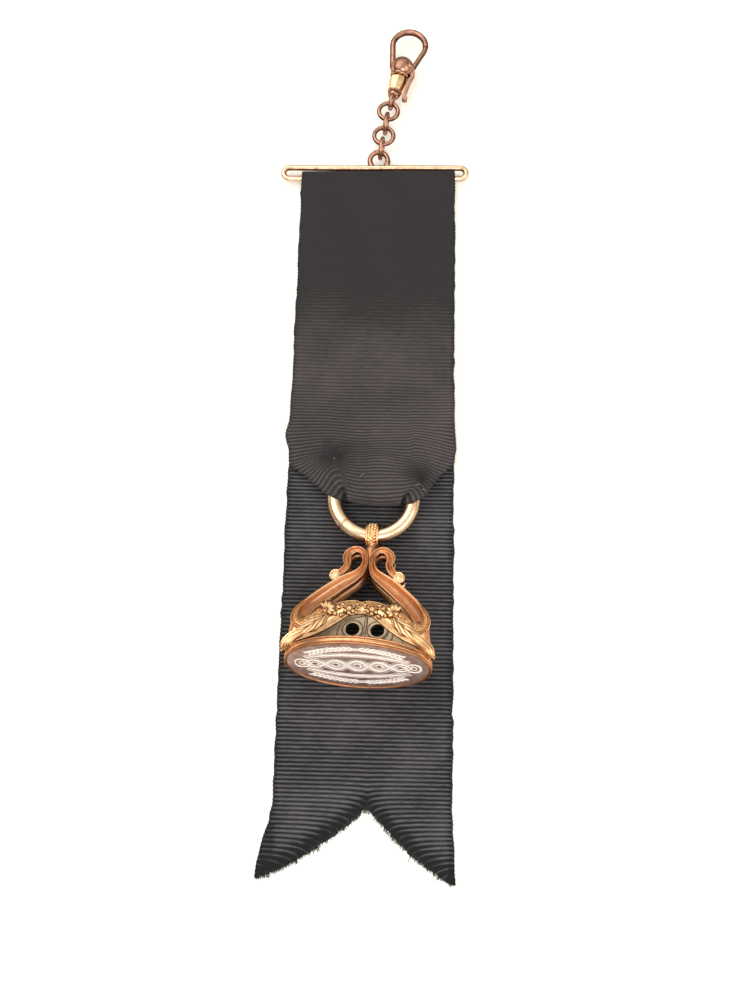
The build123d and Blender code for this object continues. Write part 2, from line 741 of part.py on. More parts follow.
def scroll_arm():
    """Right front arm of the handle: knob, scroll head, sweeping arm and foot."""
    arm = fluted_band(ARM_STATION_SHARES, ARM_WIDTH, ARM_DEPTH, flat_end=True)
    start = seal_point(*ARM_STATION_SHARES[0][:3])
    turned = Pos(start.X, start.Y, start.Z) * Rot(90, 0, 0)
    return arm + turned * Cylinder(KNOB_RADIUS, KNOB_LENGTH)


def acanthus_leaf():
    """Right leaf of the front arch, from the middle out to the arm."""
    return fluted_band(LEAF_STATION_SHARES, LEAF_WIDTH, LEAF_DEPTH)


def rosette():
    """Right flower boss, a lobed disc with a round eye, standing on the leaf."""
    lobes = []
    step = 360 / ROSETTE_PETALS
    for index in range(ROSETTE_PETALS):
        angles = [math.radians(step * (index + share)) for share in (0, 0.5, 1)]
        radii = (ROSETTE_RADIUS * 0.78, ROSETTE_RADIUS, ROSETTE_RADIUS * 0.78)
        points = [(r * math.cos(a), r * math.sin(a)) for r, a in zip(radii, angles)]
        lobes.append(ThreePointArc(*points))
    disc = extrude(make_face(lobes), ROSETTE_HEIGHT + LEAF_DEPTH / 2)
    flower = disc + Pos(0, 0, ROSETTE_HEIGHT + LEAF_DEPTH / 2) * Sphere(ROSETTE_EYE)
    across = [station[0] for station in LEAF_STATION_SHARES]
    down = [station[1] for station in LEAF_STATION_SHARES]
    middle = blend_share(across, down, ROSETTE_PLACE_SHARE)
    place = seal_point(ROSETTE_PLACE_SHARE, middle, LEAF_STATION_SHARES[1][2])
    return Pos(place.X, place.Y, place.Z - ROSETTE_DROP) * Rot(90, 0, 0) * flower


def left_of(shape):
    """The same shape on the seal's left."""
    return mirror(shape, about=Plane.YZ)


def rear_of(shape):
    """The same shape on the seal's rear."""
    return mirror(shape, about=Plane.XZ)


def rear_gallery(arms):
    """Arched plate at the rear with two collared holes."""
    right = [
        (across * SEAL_HALF_LENGTH, -down * SEAL_HEIGHT)
        for across, down in GALLERY_OUTLINE_SHARES
    ]
    shoulder = (
        GALLERY_SHOULDER_SHARE[0] * SEAL_HALF_LENGTH,
        -GALLERY_SHOULDER_SHARE[1] * SEAL_HEIGHT,
    )
    foot_level = -(SEAL_HEIGHT - RIM_HEIGHT)
    foot = (right[0][0], foot_level)
    crown = (0, -GALLERY_CROWN_SHARE * SEAL_HEIGHT)

    def flip(point):
        return (-point[0], point[1])

    outline = [
        Polyline(flip(foot), foot, right[0], right[1], right[2]),
        ThreePointArc(right[2], shoulder, crown),
        ThreePointArc(crown, flip(shoulder), flip(right[2])),
        Polyline(flip(right[2]), flip(right[1]), flip(right[0]), flip(foot)),
    ]
    upright = Plane(
        origin=(0, GALLERY_SETBACK + GALLERY_THICKNESS, 0), x_dir=(1, 0, 0), z_dir=(0, -1, 0)
    )
    plate = extrude(upright * make_face(outline), GALLERY_THICKNESS)
    for side in (-1, 1):
        place = Pos(side * GALLERY_HOLE_SIDE, -GALLERY_HOLE_DROP)
        collar = place * Circle(GALLERY_HOLE / 2 + GALLERY_COLLAR)
        hole = place * Circle(GALLERY_HOLE / 2)
        plate += extrude(upright * collar, GALLERY_THICKNESS + GALLERY_COLLAR_RISE)
        plate -= extrude(upright * hole, GALLERY_THICKNESS + OVERRUN)
    for arm in arms:
        plate -= arm
    return plate


def seal_bail(arms):
    """Loop of the seal that runs on the ring, with a lip at each side and a short neck."""
    wall = Cylinder(BAIL_RADIUS, BAIL_WIDTH)
    for side in (-1, 1):
        lip = Cylinder(BAIL_RADIUS + BAIL_LIP, BAIL_LIP)
        wall += Pos(0, 0, side * (BAIL_WIDTH - BAIL_LIP) / 2) * lip
    loop = Rot(0, 90, 0) * wall
    neck = Pos(0, 0, -BAIL_RADIUS - NECK_LENGTH / 2 + BAIL_WALL) * Cone(
        NECK_END_RADIUS, NECK_TOP_RADIUS, NECK_LENGTH
    )
    bail = loop + neck - Rot(0, 90, 0) * Cylinder(BAIL_BORE / 2, BAIL_WIDTH + OVERRUN)
    for arm in arms:
        bail -= arm
    return bail


def bail_beads():
    """Row of beads round the front of the bail."""
    barrel = Rot(0, 90, 0) * Cylinder(BAIL_RADIUS + SEAT_GAP, BAIL_WIDTH + OVERRUN)
    beads = []
    for index in range(BEAD_COUNT):
        angle = math.radians(90 + (index - (BEAD_COUNT - 1) / 2) * BEAD_STEP)
        place = Pos(0, -BAIL_RADIUS * math.sin(angle), BAIL_RADIUS * math.cos(angle))
        beads.append(place * Rot(0, 90, 0) * Sphere(BEAD_RADIUS) - barrel)
    return Compound(children=beads)


def oval_plate(inset, high, thickness):
    """Oval plate of the base, inset from its edge, with its top at a given height."""
    oval = Ellipse(SEAL_HALF_LENGTH - inset, SEAL_HALF_DEPTH - inset)
    return Pos(0, 0, high - thickness) * extrude(oval, thickness)


def base_rim():
    """Rounded oval rim round the seal's face."""
    top = -(SEAL_HEIGHT - RIM_HEIGHT)
    rim = fillet(oval_plate(0, top, RIM_HEIGHT).edges(), RIM_ROUND)
    return rim - oval_plate(RIM_WIDTH, top + OVERRUN, RIM_HEIGHT + 2 * OVERRUN)


def base_floor():
    """Oval plate inside the rim that the arms and the gallery stand on."""
    return oval_plate(RIM_WIDTH + SEAT_GAP, -(SEAL_HEIGHT - RIM_HEIGHT), FLOOR_THICKNESS)


def seal_face():
    """Oval plate with the flat face, set in the rim."""
    top = -SEAL_HEIGHT + FACE_THICKNESS + FACE_INSET
    return oval_plate(RIM_WIDTH + SEAT_GAP, top, FACE_THICKNESS)


def seal_nodes():
    """All the pieces of the seal, in their places on the ring."""
    right = scroll_arm()
    left = left_of(right)
    arms = [right, left, rear_of(right), rear_of(left)]
    leaf = acanthus_leaf() - right
    flower = rosette() - leaf
    nodes = {
        "seal_bail": seal_bail(arms),
        "bail_beads": bail_beads(),
        "arm_front_right": right,
        "arm_front_left": left,
        "arm_rear_right": arms[2],
        "arm_rear_left": arms[3],
        "leaf_right": leaf,
        "leaf_left": left_of(leaf),
        "rosettes": Compound(children=[flower, left_of(flower)]),
        "rear_gallery": rear_gallery(arms),
        "base_floor": base_floor(),
        "base_rim": base_rim(),
        "seal_face": seal_face(),
    }
    return {name: seal_place() * shape for name, shape in nodes.items()}


def swivel_nodes():
    """All the pieces of the watch swivel, in their places at the chain's end."""
    nodes = {
        "swivel_hook": swivel_hook(),
        "swivel_body": swivel_body(),
        "swivel_gate": swivel_gate(),
        "gate_pin": gate_pin(),
        "gate_spring": gate_spring(),
        "swivel_barrel": swivel_barrel(),
        "swivel_eye": swivel_eye(),
        "shank_rivet": shank_rivet(),
    }
    return {name: swivel_place() * shape for name, shape in nodes.items()}


def all_nodes():
    """Every piece of the fob under its name."""
    nodes = {
        "ribbon_back": ribbon_back(),
        "ribbon_fold": ribbon_fold(),
        "ribbon_front": ribbon_front(),
        "tack_stitches": tack_stitches(),
        "ribbon_bar": ribbon_bar(),
        "bar_eye": bar_eye(),
        "split_ring": split_ring(),
    }
    for index in range(LINK_COUNT):
        nodes[f"chain_link_{index + 1}"] = chain_link(index)
    nodes.update(swivel_nodes())
    nodes.update(seal_nodes())
    return nodes


def main():
    os.makedirs("parts", exist_ok=True)
    for name, shape in all_nodes().items():
        export_step(shape, f"parts/{name}.step")


if __name__ == "__main__":
    main()
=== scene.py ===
"""Ribbon watch fob: a gathered silk ribbon on a wire bar, a short chain with a spring-gate
swivel, a heavy ring and an oval engraved seal. Lengths in the tables are in millimetres."""

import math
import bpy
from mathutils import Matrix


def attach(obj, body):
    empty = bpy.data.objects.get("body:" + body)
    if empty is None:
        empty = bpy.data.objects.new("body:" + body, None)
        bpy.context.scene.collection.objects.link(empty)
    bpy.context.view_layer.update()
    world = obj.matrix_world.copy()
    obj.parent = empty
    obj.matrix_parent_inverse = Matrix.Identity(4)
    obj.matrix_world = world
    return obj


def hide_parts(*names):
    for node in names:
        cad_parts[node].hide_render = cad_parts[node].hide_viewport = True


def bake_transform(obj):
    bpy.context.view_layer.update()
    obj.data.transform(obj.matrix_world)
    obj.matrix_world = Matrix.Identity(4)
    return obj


bl_info = {
    "name": "Ribbon Watch Fob",
    "version": (1, 0, 0),
    "blender": (4, 2, 0),
    "location": "3D View > Sidebar > Watch Fob",
    "description": "Builds a ribbon watch fob with its seal, ring, bar, chain and swivel",
    "category": "Object",
}

import bmesh
import bpy
import numpy as np
from mathutils import Matrix

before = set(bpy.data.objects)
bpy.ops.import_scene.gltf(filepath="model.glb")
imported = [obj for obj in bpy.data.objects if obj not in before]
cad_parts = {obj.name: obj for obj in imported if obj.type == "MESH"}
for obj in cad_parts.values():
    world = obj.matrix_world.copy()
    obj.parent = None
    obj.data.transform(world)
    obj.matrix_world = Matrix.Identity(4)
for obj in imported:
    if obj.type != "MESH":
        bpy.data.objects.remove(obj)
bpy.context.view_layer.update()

MM = 0.001

# Main places and sizes, in millimetres and degrees
WIRE_PLACE = 51.3
WIRE_HEIGHT = 1.30
HALF_WIDTH = 16.0
BAR_SLANT = 1.2
BAR_TILT = 11.677
BAR_SPREAD = 2.30
BAR_RUN = 35.6
BAR_WIRE = 0.58
BAR_MIDDLE = -0.73
EYE_RADIUS = 1.85
EYE_MIDDLE = (0.10, 3.85, 0)
FOLD_SLANT = 1.6
RING_CENTRE = (0.72, -19.45, 3.0)
RING_RADIUS = 7.4
RING_TUBE = 1.4
RING_JOINT = 223.5
SEAL_TILT = 14.41
SEAL_YAW = 4.5
SEAL_ROLL = 6.0
SEAL_LENGTH = 13.15
SEAL_DEPTH = 9.0
FACE_DOWN = 27.0
FACE_BORDER = 0.42
CUT_DEPTH = 0.22


# Maths and mesh helpers


def smooth(edge_a, edge_b, value):
    """Smooth step from 0 to 1 between two edges."""
    share = np.clip((np.asarray(value, float) - edge_a) / (edge_b - edge_a), 0, 1)
    return share * share * (3 - 2 * share)


def unit(vectors):
    """Vectors of length one."""
    return vectors / np.maximum(np.linalg.norm(vectors, axis=-1, keepdims=True), 1e-12)


def round_angles(count):
    """Even angles once round."""
    return np.linspace(0, 2 * math.pi, count, endpoint=False)


def circle(angle, radius, middle=(0, 0, 0), plane=(0, 1)):
    """Points round a middle, in the plane of two axes (0 is X, 1 is Y and 2 is Z)."""
    points = np.zeros((len(angle), 3)) + np.asarray(middle, float)
    points[:, plane[0]] += radius * np.cos(angle)
    points[:, plane[1]] += radius * np.sin(angle)
    return points


def moved(place):
    """Matrix that moves to a place in millimetres."""
    return Matrix.Translation([c * MM for c in place])


def spun(degrees, axis):
    """Matrix that turns about an axis."""
    return Matrix.Rotation(math.radians(degrees), 4, axis)


def placed(points, place):
    """Points in millimetres, moved to their place in the frame."""
    points = np.asarray(points, float) * MM
    if place is None:
        return points
    return points @ np.array(place.to_3x3()).T + np.array(place.translation)


def cubic(knots, values, at):
    """Natural cubic curve through values at knots, for each column, read at the given places."""
    knots, values = np.asarray(knots, float), np.asarray(values, float)
    gaps = np.diff(knots)
    count = len(knots)
    matrix = np.eye(count)
    right = np.zeros_like(values)
    for i in range(1, count - 1):
        matrix[i, i - 1 : i + 2] = gaps[i - 1], 2 * (gaps[i - 1] + gaps[i]), gaps[i]
        slope = (values[i + 1] - values[i]) / gaps[i] - (values[i] - values[i - 1]) / gaps[i - 1]
        right[i] = 6 * slope
    bend = np.linalg.solve(matrix, right)
    at = np.clip(np.asarray(at, float), knots[0], knots[-1])
    i = np.clip(np.searchsorted(knots, at, side="right") - 1, 0, count - 2)
    h = gaps[i][:, None]
    a = (knots[i + 1] - at)[:, None] / h
    b = (at - knots[i])[:, None] / h
    low, high = bend[i], bend[i + 1]
    ends = a * values[i] + b * values[i + 1]
    return ends + ((a**3 - a) * low + (b**3 - b) * high) * h * h / 6


def curve_through(stations, count):
    """Smooth curve through stations, evenly spread by length; extra columns ride along."""
    stations = np.asarray(stations, float)
    steps = np.linalg.norm(np.diff(stations[:, :3], axis=0), axis=1)
    knots = np.concatenate([[0], np.cumsum(steps)])
    return cubic(knots, stations, np.linspace(0, knots[-1], count))


def steady(t, knots, values):
    """Curve through values that never overshoots them (a monotone cubic for each column)."""
    knots, values = np.asarray(knots, float), np.asarray(values, float)
    gaps = np.diff(knots)[:, None]
    slopes = np.diff(values, axis=0) / gaps
    tangent = np.zeros_like(values)
    tangent[0], tangent[-1] = slopes[0], slopes[-1]
    same = slopes[:-1] * slopes[1:] > 0
    mean = 2 * slopes[:-1] * slopes[1:] / np.where(same, slopes[:-1] + slopes[1:], 1)
    tangent[1:-1] = np.where(same, mean, 0)
    t = np.clip(t, knots[0], knots[-1])
    i = np.clip(np.searchsorted(knots, t, side="right") - 1, 0, len(knots) - 2)
    h = gaps[i]
    s = ((t - knots[i]) / gaps[i, 0])[:, None]
    return (
        (2 * s**3 - 3 * s**2 + 1) * values[i]
        + (s**3 - 2 * s**2 + s) * h * tangent[i]
        + (3 * s**2 - 2 * s**3) * values[i + 1]
        + (s**3 - s**2) * h * tangent[i + 1]
    )


class Shell:
    """Gathers grids of points into one mesh."""

    def __init__(self):
        self.points, self.faces, self.marks, self.uvs = [], [], [], []
        self.count = 0

    def add(self, points, faces, mark=None, uv=None, flip=False):
        """Adds points and faces, with each point's hollow mark, which the materials turn into
        patina, wear, painted shade and painted glints, and its place on the cloth.
        """
        count = len(points)
        self.points.append(points)
        self.faces.append(faces[:, ::-1] if flip else faces)
        self.marks.append(np.zeros(count) if mark is None else np.reshape(mark, count))
        self.uvs.append(np.zeros((count, 2)) if uv is None else np.reshape(uv, (count, 2)))
        self.count += count

    def grid(self, points, wrap_rows=False, wrap_cols=False, mark=None, uv=None, flip=False):
        """Adds a grid of shape (rows, columns, 3) in millimetres."""
        rows, cols = points.shape[:2]
        index = np.arange(rows * cols).reshape(rows, cols) + self.count
        if wrap_rows:
            index = np.vstack([index, index[:1]])
        if wrap_cols:
            index = np.hstack([index, index[:, :1]])
        quads = np.stack(
            [index[:-1, :-1], index[:-1, 1:], index[1:, 1:], index[1:, :-1]], axis=-1
        ).reshape(-1, 4)
        self.add(points.reshape(-1, 3), quads, mark, uv, flip)

    def fan(self, loop, middle, flip=False):
        """Closes a loop of points with triangles that meet in its middle."""
        count = len(loop)
        ring = np.arange(count) + self.count
        tris = np.stack([ring, np.roll(ring, -1), np.full(count, self.count + count)], axis=-1)
        self.add(np.vstack([loop, middle]), tris, flip=flip)

    def make(self, name, material, place=None, body=None, flat=False):
        """Makes the object, with its points moved to their place in the frame."""
        points = placed(np.vstack(self.points), place)
        mesh = bpy.data.meshes.new(name)
        faces = [face for group in self.faces for face in group.tolist()]
        mesh.from_pydata(points.tolist(), [], faces)
        mesh.polygons.foreach_set("use_smooth", [not flat] * len(mesh.polygons))
        mark = mesh.attributes.new("hollow", "FLOAT", "POINT")
        mark.data.foreach_set("value", np.concatenate(self.marks).astype(np.float32))
        layer = mesh.uv_layers.new(name="cloth")
        corner = np.empty(len(mesh.loops), dtype=np.int32)
        mesh.loops.foreach_get("vertex_index", corner)
        layer.data.foreach_set("uv", np.vstack(self.uvs)[corner].astype(np.float32).ravel())
        mesh.materials.append(material)
        mesh.validate()
        mesh.update()
        piece = bpy.data.objects.new(name, mesh)
        bpy.context.scene.collection.objects.link(piece)
        if body:
            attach(piece, body)
        return piece


class Tree:
    """Adds nodes to a node tree. Each input is a value, or the socket that feeds it."""

    def __init__(self, tree):
        self.nodes, self.link = tree.nodes, tree.links.new

    def feed(self, node, inputs):
        """Sets or links a node's inputs."""
        for name, value in inputs.items():
            if isinstance(value, bpy.types.NodeSocket):
                self.link(value, node.inputs[name])
            else:
                node.inputs[name].default_value = value
        return node

    def add(self, kind, inputs=None, **settings):
        """A new node with its settings and inputs."""
        node = self.nodes.new(kind)
        for name, value in settings.items():
            setattr(node, name, value)
        return self.feed(node, inputs or {})

    def math(self, operation, *values, clamp=False):
        """Result of a sum with one to three values."""
        inputs = dict(enumerate(values))
        return self.add("ShaderNodeMath", inputs, operation=operation, use_clamp=clamp).outputs[0]

    def remap(self, value, low, high, to_low=0.0, to_high=1.0):
        """A value between low and high, moved to another span."""
        spans = {"From Min": low, "From Max": high, "To Min": to_low, "To Max": to_high}
        return self.add("ShaderNodeMapRange", {"Value": value, **spans}).outputs["Result"]

    def noise(self, vector, scale, detail):
        """Soft uneven patches."""
        inputs = {"Vector": vector, "Scale": scale, "Detail": detail}
        return self.add("ShaderNodeTexNoise", inputs).outputs["Fac"]

    def between(self, share, first, second):
        """A colour between two others."""
        inputs = {"Factor": share, "A": (*first, 1), "B": (*second, 1)}
        return self.add("ShaderNodeMix", inputs, data_type="RGBA").outputs["Result"]

    def relief(self, height, strength, distance):
        """Fine relief, as a normal."""
        inputs = {"Height": height, "Strength": strength, "Distance": distance * MM}
        return self.add("ShaderNodeBump", inputs).outputs["Normal"]

    def hollow(self):
        """A piece's hollow mark at a point, which the materials turn into patina, wear, painted
        shade and painted glints.
        """
        return self.add("ShaderNodeAttribute", attribute_name="hollow").outputs["Fac"]


def frames(path, front, closed=False):
    """Directions across and in front along a path whose front faces one way."""
    if closed:
        run = unit(np.roll(path, -1, 0) - np.roll(path, 1, 0))
    else:
        run = unit(np.gradient(path, axis=0))
    front = np.asarray(front, float)
    face = unit(front - run * np.sum(run * front, axis=1, keepdims=True))
    return np.cross(face, run), face


def section(path, across, face, sides, rises):
    """Points of a section along a path, given as offsets across and in front."""
    return (
        path[:, None, :]
        + across[:, None, :] * sides[..., None]
        + face[:, None, :] * rises[..., None]
    )


def shut(shell, points, mark, flip=1):
    """Adds a closed section along a path with its ends shut."""
    shell.grid(points, wrap_cols=True, mark=mark, flip=flip < 0)
    shell.fan(points[0], points[0].mean(axis=0), flip=flip < 0)
    shell.fan(points[-1], points[-1].mean(axis=0), flip=flip > 0)


def tube(shell, path, radius, sides=20, closed=False, front=(0, 0, 1), flanks=0.0, inner=0.0):
    """Adds a round tube along a path. Its radius can change, and painted shade can darken its
    flanks and its inner side.
    """
    path = np.asarray(path, float)
    across, face = frames(path, front, closed)
    angle = round_angles(sides)
    radius = np.broadcast_to(np.asarray(radius, float), (len(path),))[:, None]
    aside = np.cos(angle)
    # Painted shade: flanks darkens both sides of the tube, inner darkens the side that faces
    # across, the inside of a loop.
    mark = flanks * smooth(0.30, 0.95, np.abs(aside)) + inner * smooth(-0.15, 0.85, aside)
    mark = np.broadcast_to(mark, (len(path), sides))
    points = section(path, across, face, radius * aside, radius * np.sin(angle))
    if closed:
        shell.grid(points, wrap_rows=True, wrap_cols=True, mark=mark)
    else:
        shut(shell, points, mark)


def turned(shell, profile, sides=48, start=(0, 0, 0), axis="z"):
    """Adds a solid turned from a profile of (radius, height) about an axis through start."""
    profile = np.asarray(profile, float)
    angle = round_angles(sides)
    r, h = profile[:, 0][:, None], profile[:, 1][:, None]
    x, y, z = r * np.cos(angle), r * np.sin(angle), h + 0 * angle
    order = {"z": (x, y, z), "x": (z, x, y), "y": (y, z, x)}[axis]
    shell.grid(np.stack(order, axis=-1) + np.asarray(start, float), wrap_cols=True)


def scattered(name, places, sizes, material, body, place, rings=8):
    """Small round beads on given places, made by a node group and then turned into a mesh."""
    points = placed(places, place)
    mesh = bpy.data.meshes.new(name)
    mesh.from_pydata(points.tolist(), [], [])
    scale = mesh.attributes.new("bead_size", "FLOAT", "POINT")
    scale.data.foreach_set("value", (np.broadcast_to(sizes, len(points)) * MM).astype(np.float32))
    piece = bpy.data.objects.new(name, mesh)
    bpy.context.scene.collection.objects.link(piece)
    group = bpy.data.node_groups.new(name, "GeometryNodeTree")
    face = group.interface
    face.new_socket("Geometry", in_out="INPUT", socket_type="NodeSocketGeometry")
    count = face.new_socket("Rings", in_out="INPUT", socket_type="NodeSocketInt")
    count.default_value = rings
    finish = face.new_socket("Material", in_out="INPUT", socket_type="NodeSocketMaterial")
    face.new_socket("Geometry", in_out="OUTPUT", socket_type="NodeSocketGeometry")
    tree = Tree(group)
    start = tree.add("NodeGroupInput").outputs
    ball = tree.add(
        "GeometryNodeMeshUVSphere",
        {"Radius": 1.0, "Segments": 2 * rings, "Rings": start["Rings"]},
    )
    size = tree.add("GeometryNodeInputNamedAttribute", {"Name": "bead_size"}, data_type="FLOAT")
    spread = tree.add(
        "GeometryNodeInstanceOnPoints",
        {
            "Points": start["Geometry"],
            "Instance": ball.outputs["Mesh"],
            "Scale": size.outputs["Attribute"],
        },
    )
    shape = spread.outputs["Instances"]
    for kind, inputs in (
        ("GeometryNodeRealizeInstances", {}),
        ("GeometryNodeSetShadeSmooth", {}),
        ("GeometryNodeSetMaterial", {"Material": start["Material"]}),
    ):
        shape = tree.add(kind, {"Geometry": shape, **inputs}).outputs["Geometry"]
    tree.add("NodeGroupOutput", {"Geometry": shape})
    modifier = piece.modifiers.new("beads", "NODES")
    modifier.node_group = group
    modifier[count.identifier] = rings
    modifier[finish.identifier] = material
    plain(piece)
    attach(piece, body)
    return piece


def plain(piece):
    """Turns a piece's modifiers into plain mesh."""
    view = bpy.context.evaluated_depsgraph_get()
    mesh = bpy.data.meshes.new_from_object(piece.evaluated_get(view))
    piece.modifiers.clear()
    old = piece.data
    piece.data = mesh
    bpy.data.meshes.remove(old)
    mesh.name = piece.name


# Materials


def shader(name):
    """A new material, its node tree and its Principled shader."""
    material = bpy.data.materials.new(name)
    material.use_nodes = True
    tree = Tree(material.node_tree)
    return material, tree, tree.nodes["Principled BSDF"]


def metal(name, light, deep, roughness, patina_and_shade=0.5, tarnish=0.35):
    """Gold, deeper and duller where its hollow mark paints shade and patina and in random tarnish
    patches, with a fine uneven polish.
    """
    material, tree, principled = shader(name)
    place = tree.add("ShaderNodeTexCoord").outputs["Object"]
    patches = tree.remap(tree.noise(place, 900.0, 4.0), 0.42, 0.75, 0.0, tarnish)
    # The hollow mark paints shade (on flanks, rears and undersides, and with patina in grooves);
    # the noise adds random tarnish.
    tarnish_and_shade = tree.math("ADD", tree.math("MULTIPLY", tree.hollow(), patina_and_shade), patches, clamp=True)
    tree.feed(
        principled,
        {
            "Metallic": 1.0,
            "Specular Tint": (*(0.35 + 0.65 * c for c in deep), 1),
            "Base Color": tree.between(tarnish_and_shade, light, deep),
            "Roughness": tree.remap(tarnish_and_shade, 0.0, 1.0, roughness, min(roughness + 0.28, 1.0)),
            "Normal": tree.relief(tree.noise(place, 1600.0, 2.0), 0.25, 0.02),
        },
    )
    return material


def silk(name, dark, light, faint=1.0):
    """Ribbed silk with fine warp threads, and painted highlights on its rib crests that can be
    fainter at the start of the cloth.
    """
    material, tree, principled = shader(name)
    uv = tree.add("ShaderNodeUVMap", uv_map="cloth").outputs["UV"]
    across, along, _ = tree.add("ShaderNodeSeparateXYZ", {"Vector": uv}).outputs
    ribs = tree.math("COSINE", tree.math("MULTIPLY", along, 2 * math.pi / RIB_PITCH))
    ribs = tree.math("MULTIPLY", ribs, tree.remap(along, *SHEEN_FROM_TO, faint))
    stretch = tree.add("ShaderNodeMapping", {"Vector": uv, "Scale": (0.9, 9.0, 1.0)})
    streaks = tree.noise(stretch.outputs["Vector"], 0.6, 3.0)
    # Painted highlight: the rib crests are coloured lighter, in uneven streaks.
    crests = tree.math("MULTIPLY", tree.remap(ribs, -1.0, 1.0), streaks)
    place = tree.add("ShaderNodeTexCoord").outputs["Object"]
    cloud = tree.remap(tree.noise(place, 110.0, 5.0), 0.35, 0.70, -0.16, 0.10)
    sheen_and_wear = tree.math("MULTIPLY_ADD", crests, 1.5, cloud)
    # The hollow mark takes colour off: painted shade in the gathers at the tacks, darker selvages
    # and frayed edges, and weaker painted highlights toward the top of the front layer.
    sheen_and_wear = tree.math("SUBTRACT", sheen_and_wear, tree.hollow(), clamp=True)
    warp = tree.math("SINE", tree.math("MULTIPLY", across, 2 * math.pi / WARP_PITCH))
    tree.feed(
        principled,
        {
            "Base Color": tree.between(sheen_and_wear, dark, light),
            "Roughness": 0.62,
            "Specular IOR Level": 0.18,
            "Sheen Weight": 0.05,
            "Normal": tree.relief(warp, 0.35, 0.03),
        },
    )
    return material


def matte(name, colour, roughness):
    """Plain rough finish."""
    material, tree, principled = shader(name)
    tree.feed(principled, {"Base Color": (*colour, 1), "Roughness": roughness})
    return material


LOOKS = {}
RIB_PITCH = 0.77
WARP_PITCH = 0.24
# Places along the cloth between which the painted highlights on its ribs grow to their full
# contrast
SHEEN_FROM_TO = (44.0, 60.0)


def look(name):
    """The material of this name, made the first time it is asked for."""
    if name not in LOOKS:
        tone = bpy.context.scene.fob_metal
        LOOKS[name] = {
            # Each silk's light colour is the painted highlight on its rib crests.
            "silk": lambda: silk("silk", (0.026, 0.024, 0.024), (0.127, 0.106, 0.105), 0.4),
            "silk_low": lambda: silk("silk_low", (0.006, 0.006, 0.007), (0.147, 0.141, 0.149)),
            "thread": lambda: matte("thread", (0.020, 0.019, 0.021), 0.8),
            "lint": lambda: matte("lint", (0.30, 0.28, 0.27), 0.8),
            # Each metal's deep colour is mixed in by its hollow mark and random tarnish, so it is
            # also the colour of painted shade.
            "gold": lambda: metal("gold", tone.gold, tone.gold_deep, 0.20, 0.9, 0.18),
            "leaf": lambda: metal("leaf", (0.88, 0.57, 0.30), (0.20, 0.08, 0.035), 0.25, 1.0, 0.25),
            "rim": lambda: metal("rim", (0.74, 0.36, 0.175), (0.27, 0.11, 0.05), 0.24, 0.8),
            "ring": lambda: metal("ring", (0.90, 0.65, 0.42), (0.42, 0.19, 0.11), 0.20, 0.8),
            "bar": lambda: metal("bar", (0.94, 0.70, 0.47), (0.28, 0.12, 0.07), 0.22, 0.9, 0.4),
            "pale": lambda: metal("pale", (0.93, 0.70, 0.38), (0.46, 0.25, 0.12), 0.18, 0.7),
            "red": lambda: metal("red", tone.copper, tone.copper_deep, 0.22, 0.9, 0.6),
            "dull": lambda: metal("dull", (0.47, 0.38, 0.26), (0.16, 0.12, 0.08), 0.42, 0.8),
            # The face's deep colour is near white: it paints glints into the engraved cuts.
            "face": lambda: metal("face", (0.62, 0.40, 0.34), (1.0, 0.96, 0.92), 0.50, 1.0),
            "steel": lambda: metal("steel", (0.55, 0.55, 0.57), (0.30, 0.30, 0.30), 0.3, 0.5),
        }[name]()
    return LOOKS[name]


def wear_cad(node, name):
    """Gives a solid of the frame its finish."""
    for slot in bpy.data.objects[node].material_slots:
        slot.material = look(name)


# Ribbon

RIB_ROWS = 6
RIB_RISE = 0.13
BACK_THICKNESS = 0.40
FRONT_THICKNESS = 0.36
TURN_UP_THICKNESS = 0.34
# Back layer: length, start, height, and the swallow tail's notch and points. Its selvages flare
# toward the points, by an amount for each side and between two heights
BACK_LENGTH = 141.5
BACK_START = 51.0
BACK_HEIGHT = 0.42
NOTCH = (0.85, -76.5)
TAIL_POINTS = {-1: (-18.6, -89.1), 1: (16.5, -89.5)}
CUT_SAG = 5.2
FLARES = {-1: 2.6, 1: 0.5}
FLARE_FROM_TO = (-74.7, -89.5)
# Front layer, along the cloth: the turn round the wire, the flat run, the gathers and the end
FOLD_RUN = math.pi * 1.05
GATHER_START = 4.0
FLAT_RUN = WIRE_PLACE - GATHER_START
GATHER_RUN = 28.6
END_RUN = 3.2
# How far the fold reaches past the wire, above it and below it, and the front layer's height by
# the wire and further down
FOLD_REACH = 1.66
FOLD_ABOVE = 1.30
FOLD_BELOW = 1.22
WIRE_LEVEL = 2.60
FLAT_LEVEL = 1.50
# End sewn up behind: its length, and its half widths from its first row up
TURN_UP_LENGTH = 12.6
TURN_UP_WIDTHS = ((-18.6, 4.8), (-16.8, 5.6), (-12.0, 9.0), (-6.0, 15.0))
# Gathers' tacks: place across and along, size and strength
TACKS = ((-7.0, -11.0, 3.0, 0.9), (9.4, -15.2, 2.6, 0.7))


def ribbed(length):
    """Places along a length of cloth, as many to each rib."""
    return np.arange(0, length, RIB_PITCH / RIB_ROWS)


def rib_height(v, height):
    """Height of the ribs at places along the cloth."""
    return height * (0.5 + 0.5 * np.cos(2 * math.pi * v / RIB_PITCH)) ** 0.8


def scalloped(v):
    """How far the selvage stands out at each rib."""
    return 0.04 * np.cos(2 * math.pi * v / RIB_PITCH)


def tail_end(x):
    """Y where the swallow tail is cut, across the ribbon."""
    drops = {}
    for side, (point_x, point_y) in TAIL_POINTS.items():
        share = np.clip((x - NOTCH[0]) / (point_x - NOTCH[0]), 0, 1)
        drops[side] = (point_y - NOTCH[1]) * share - CUT_SAG * share * (1 - share)
    return NOTCH[1] + np.where(x < NOTCH[0], drops[-1], drops[1])


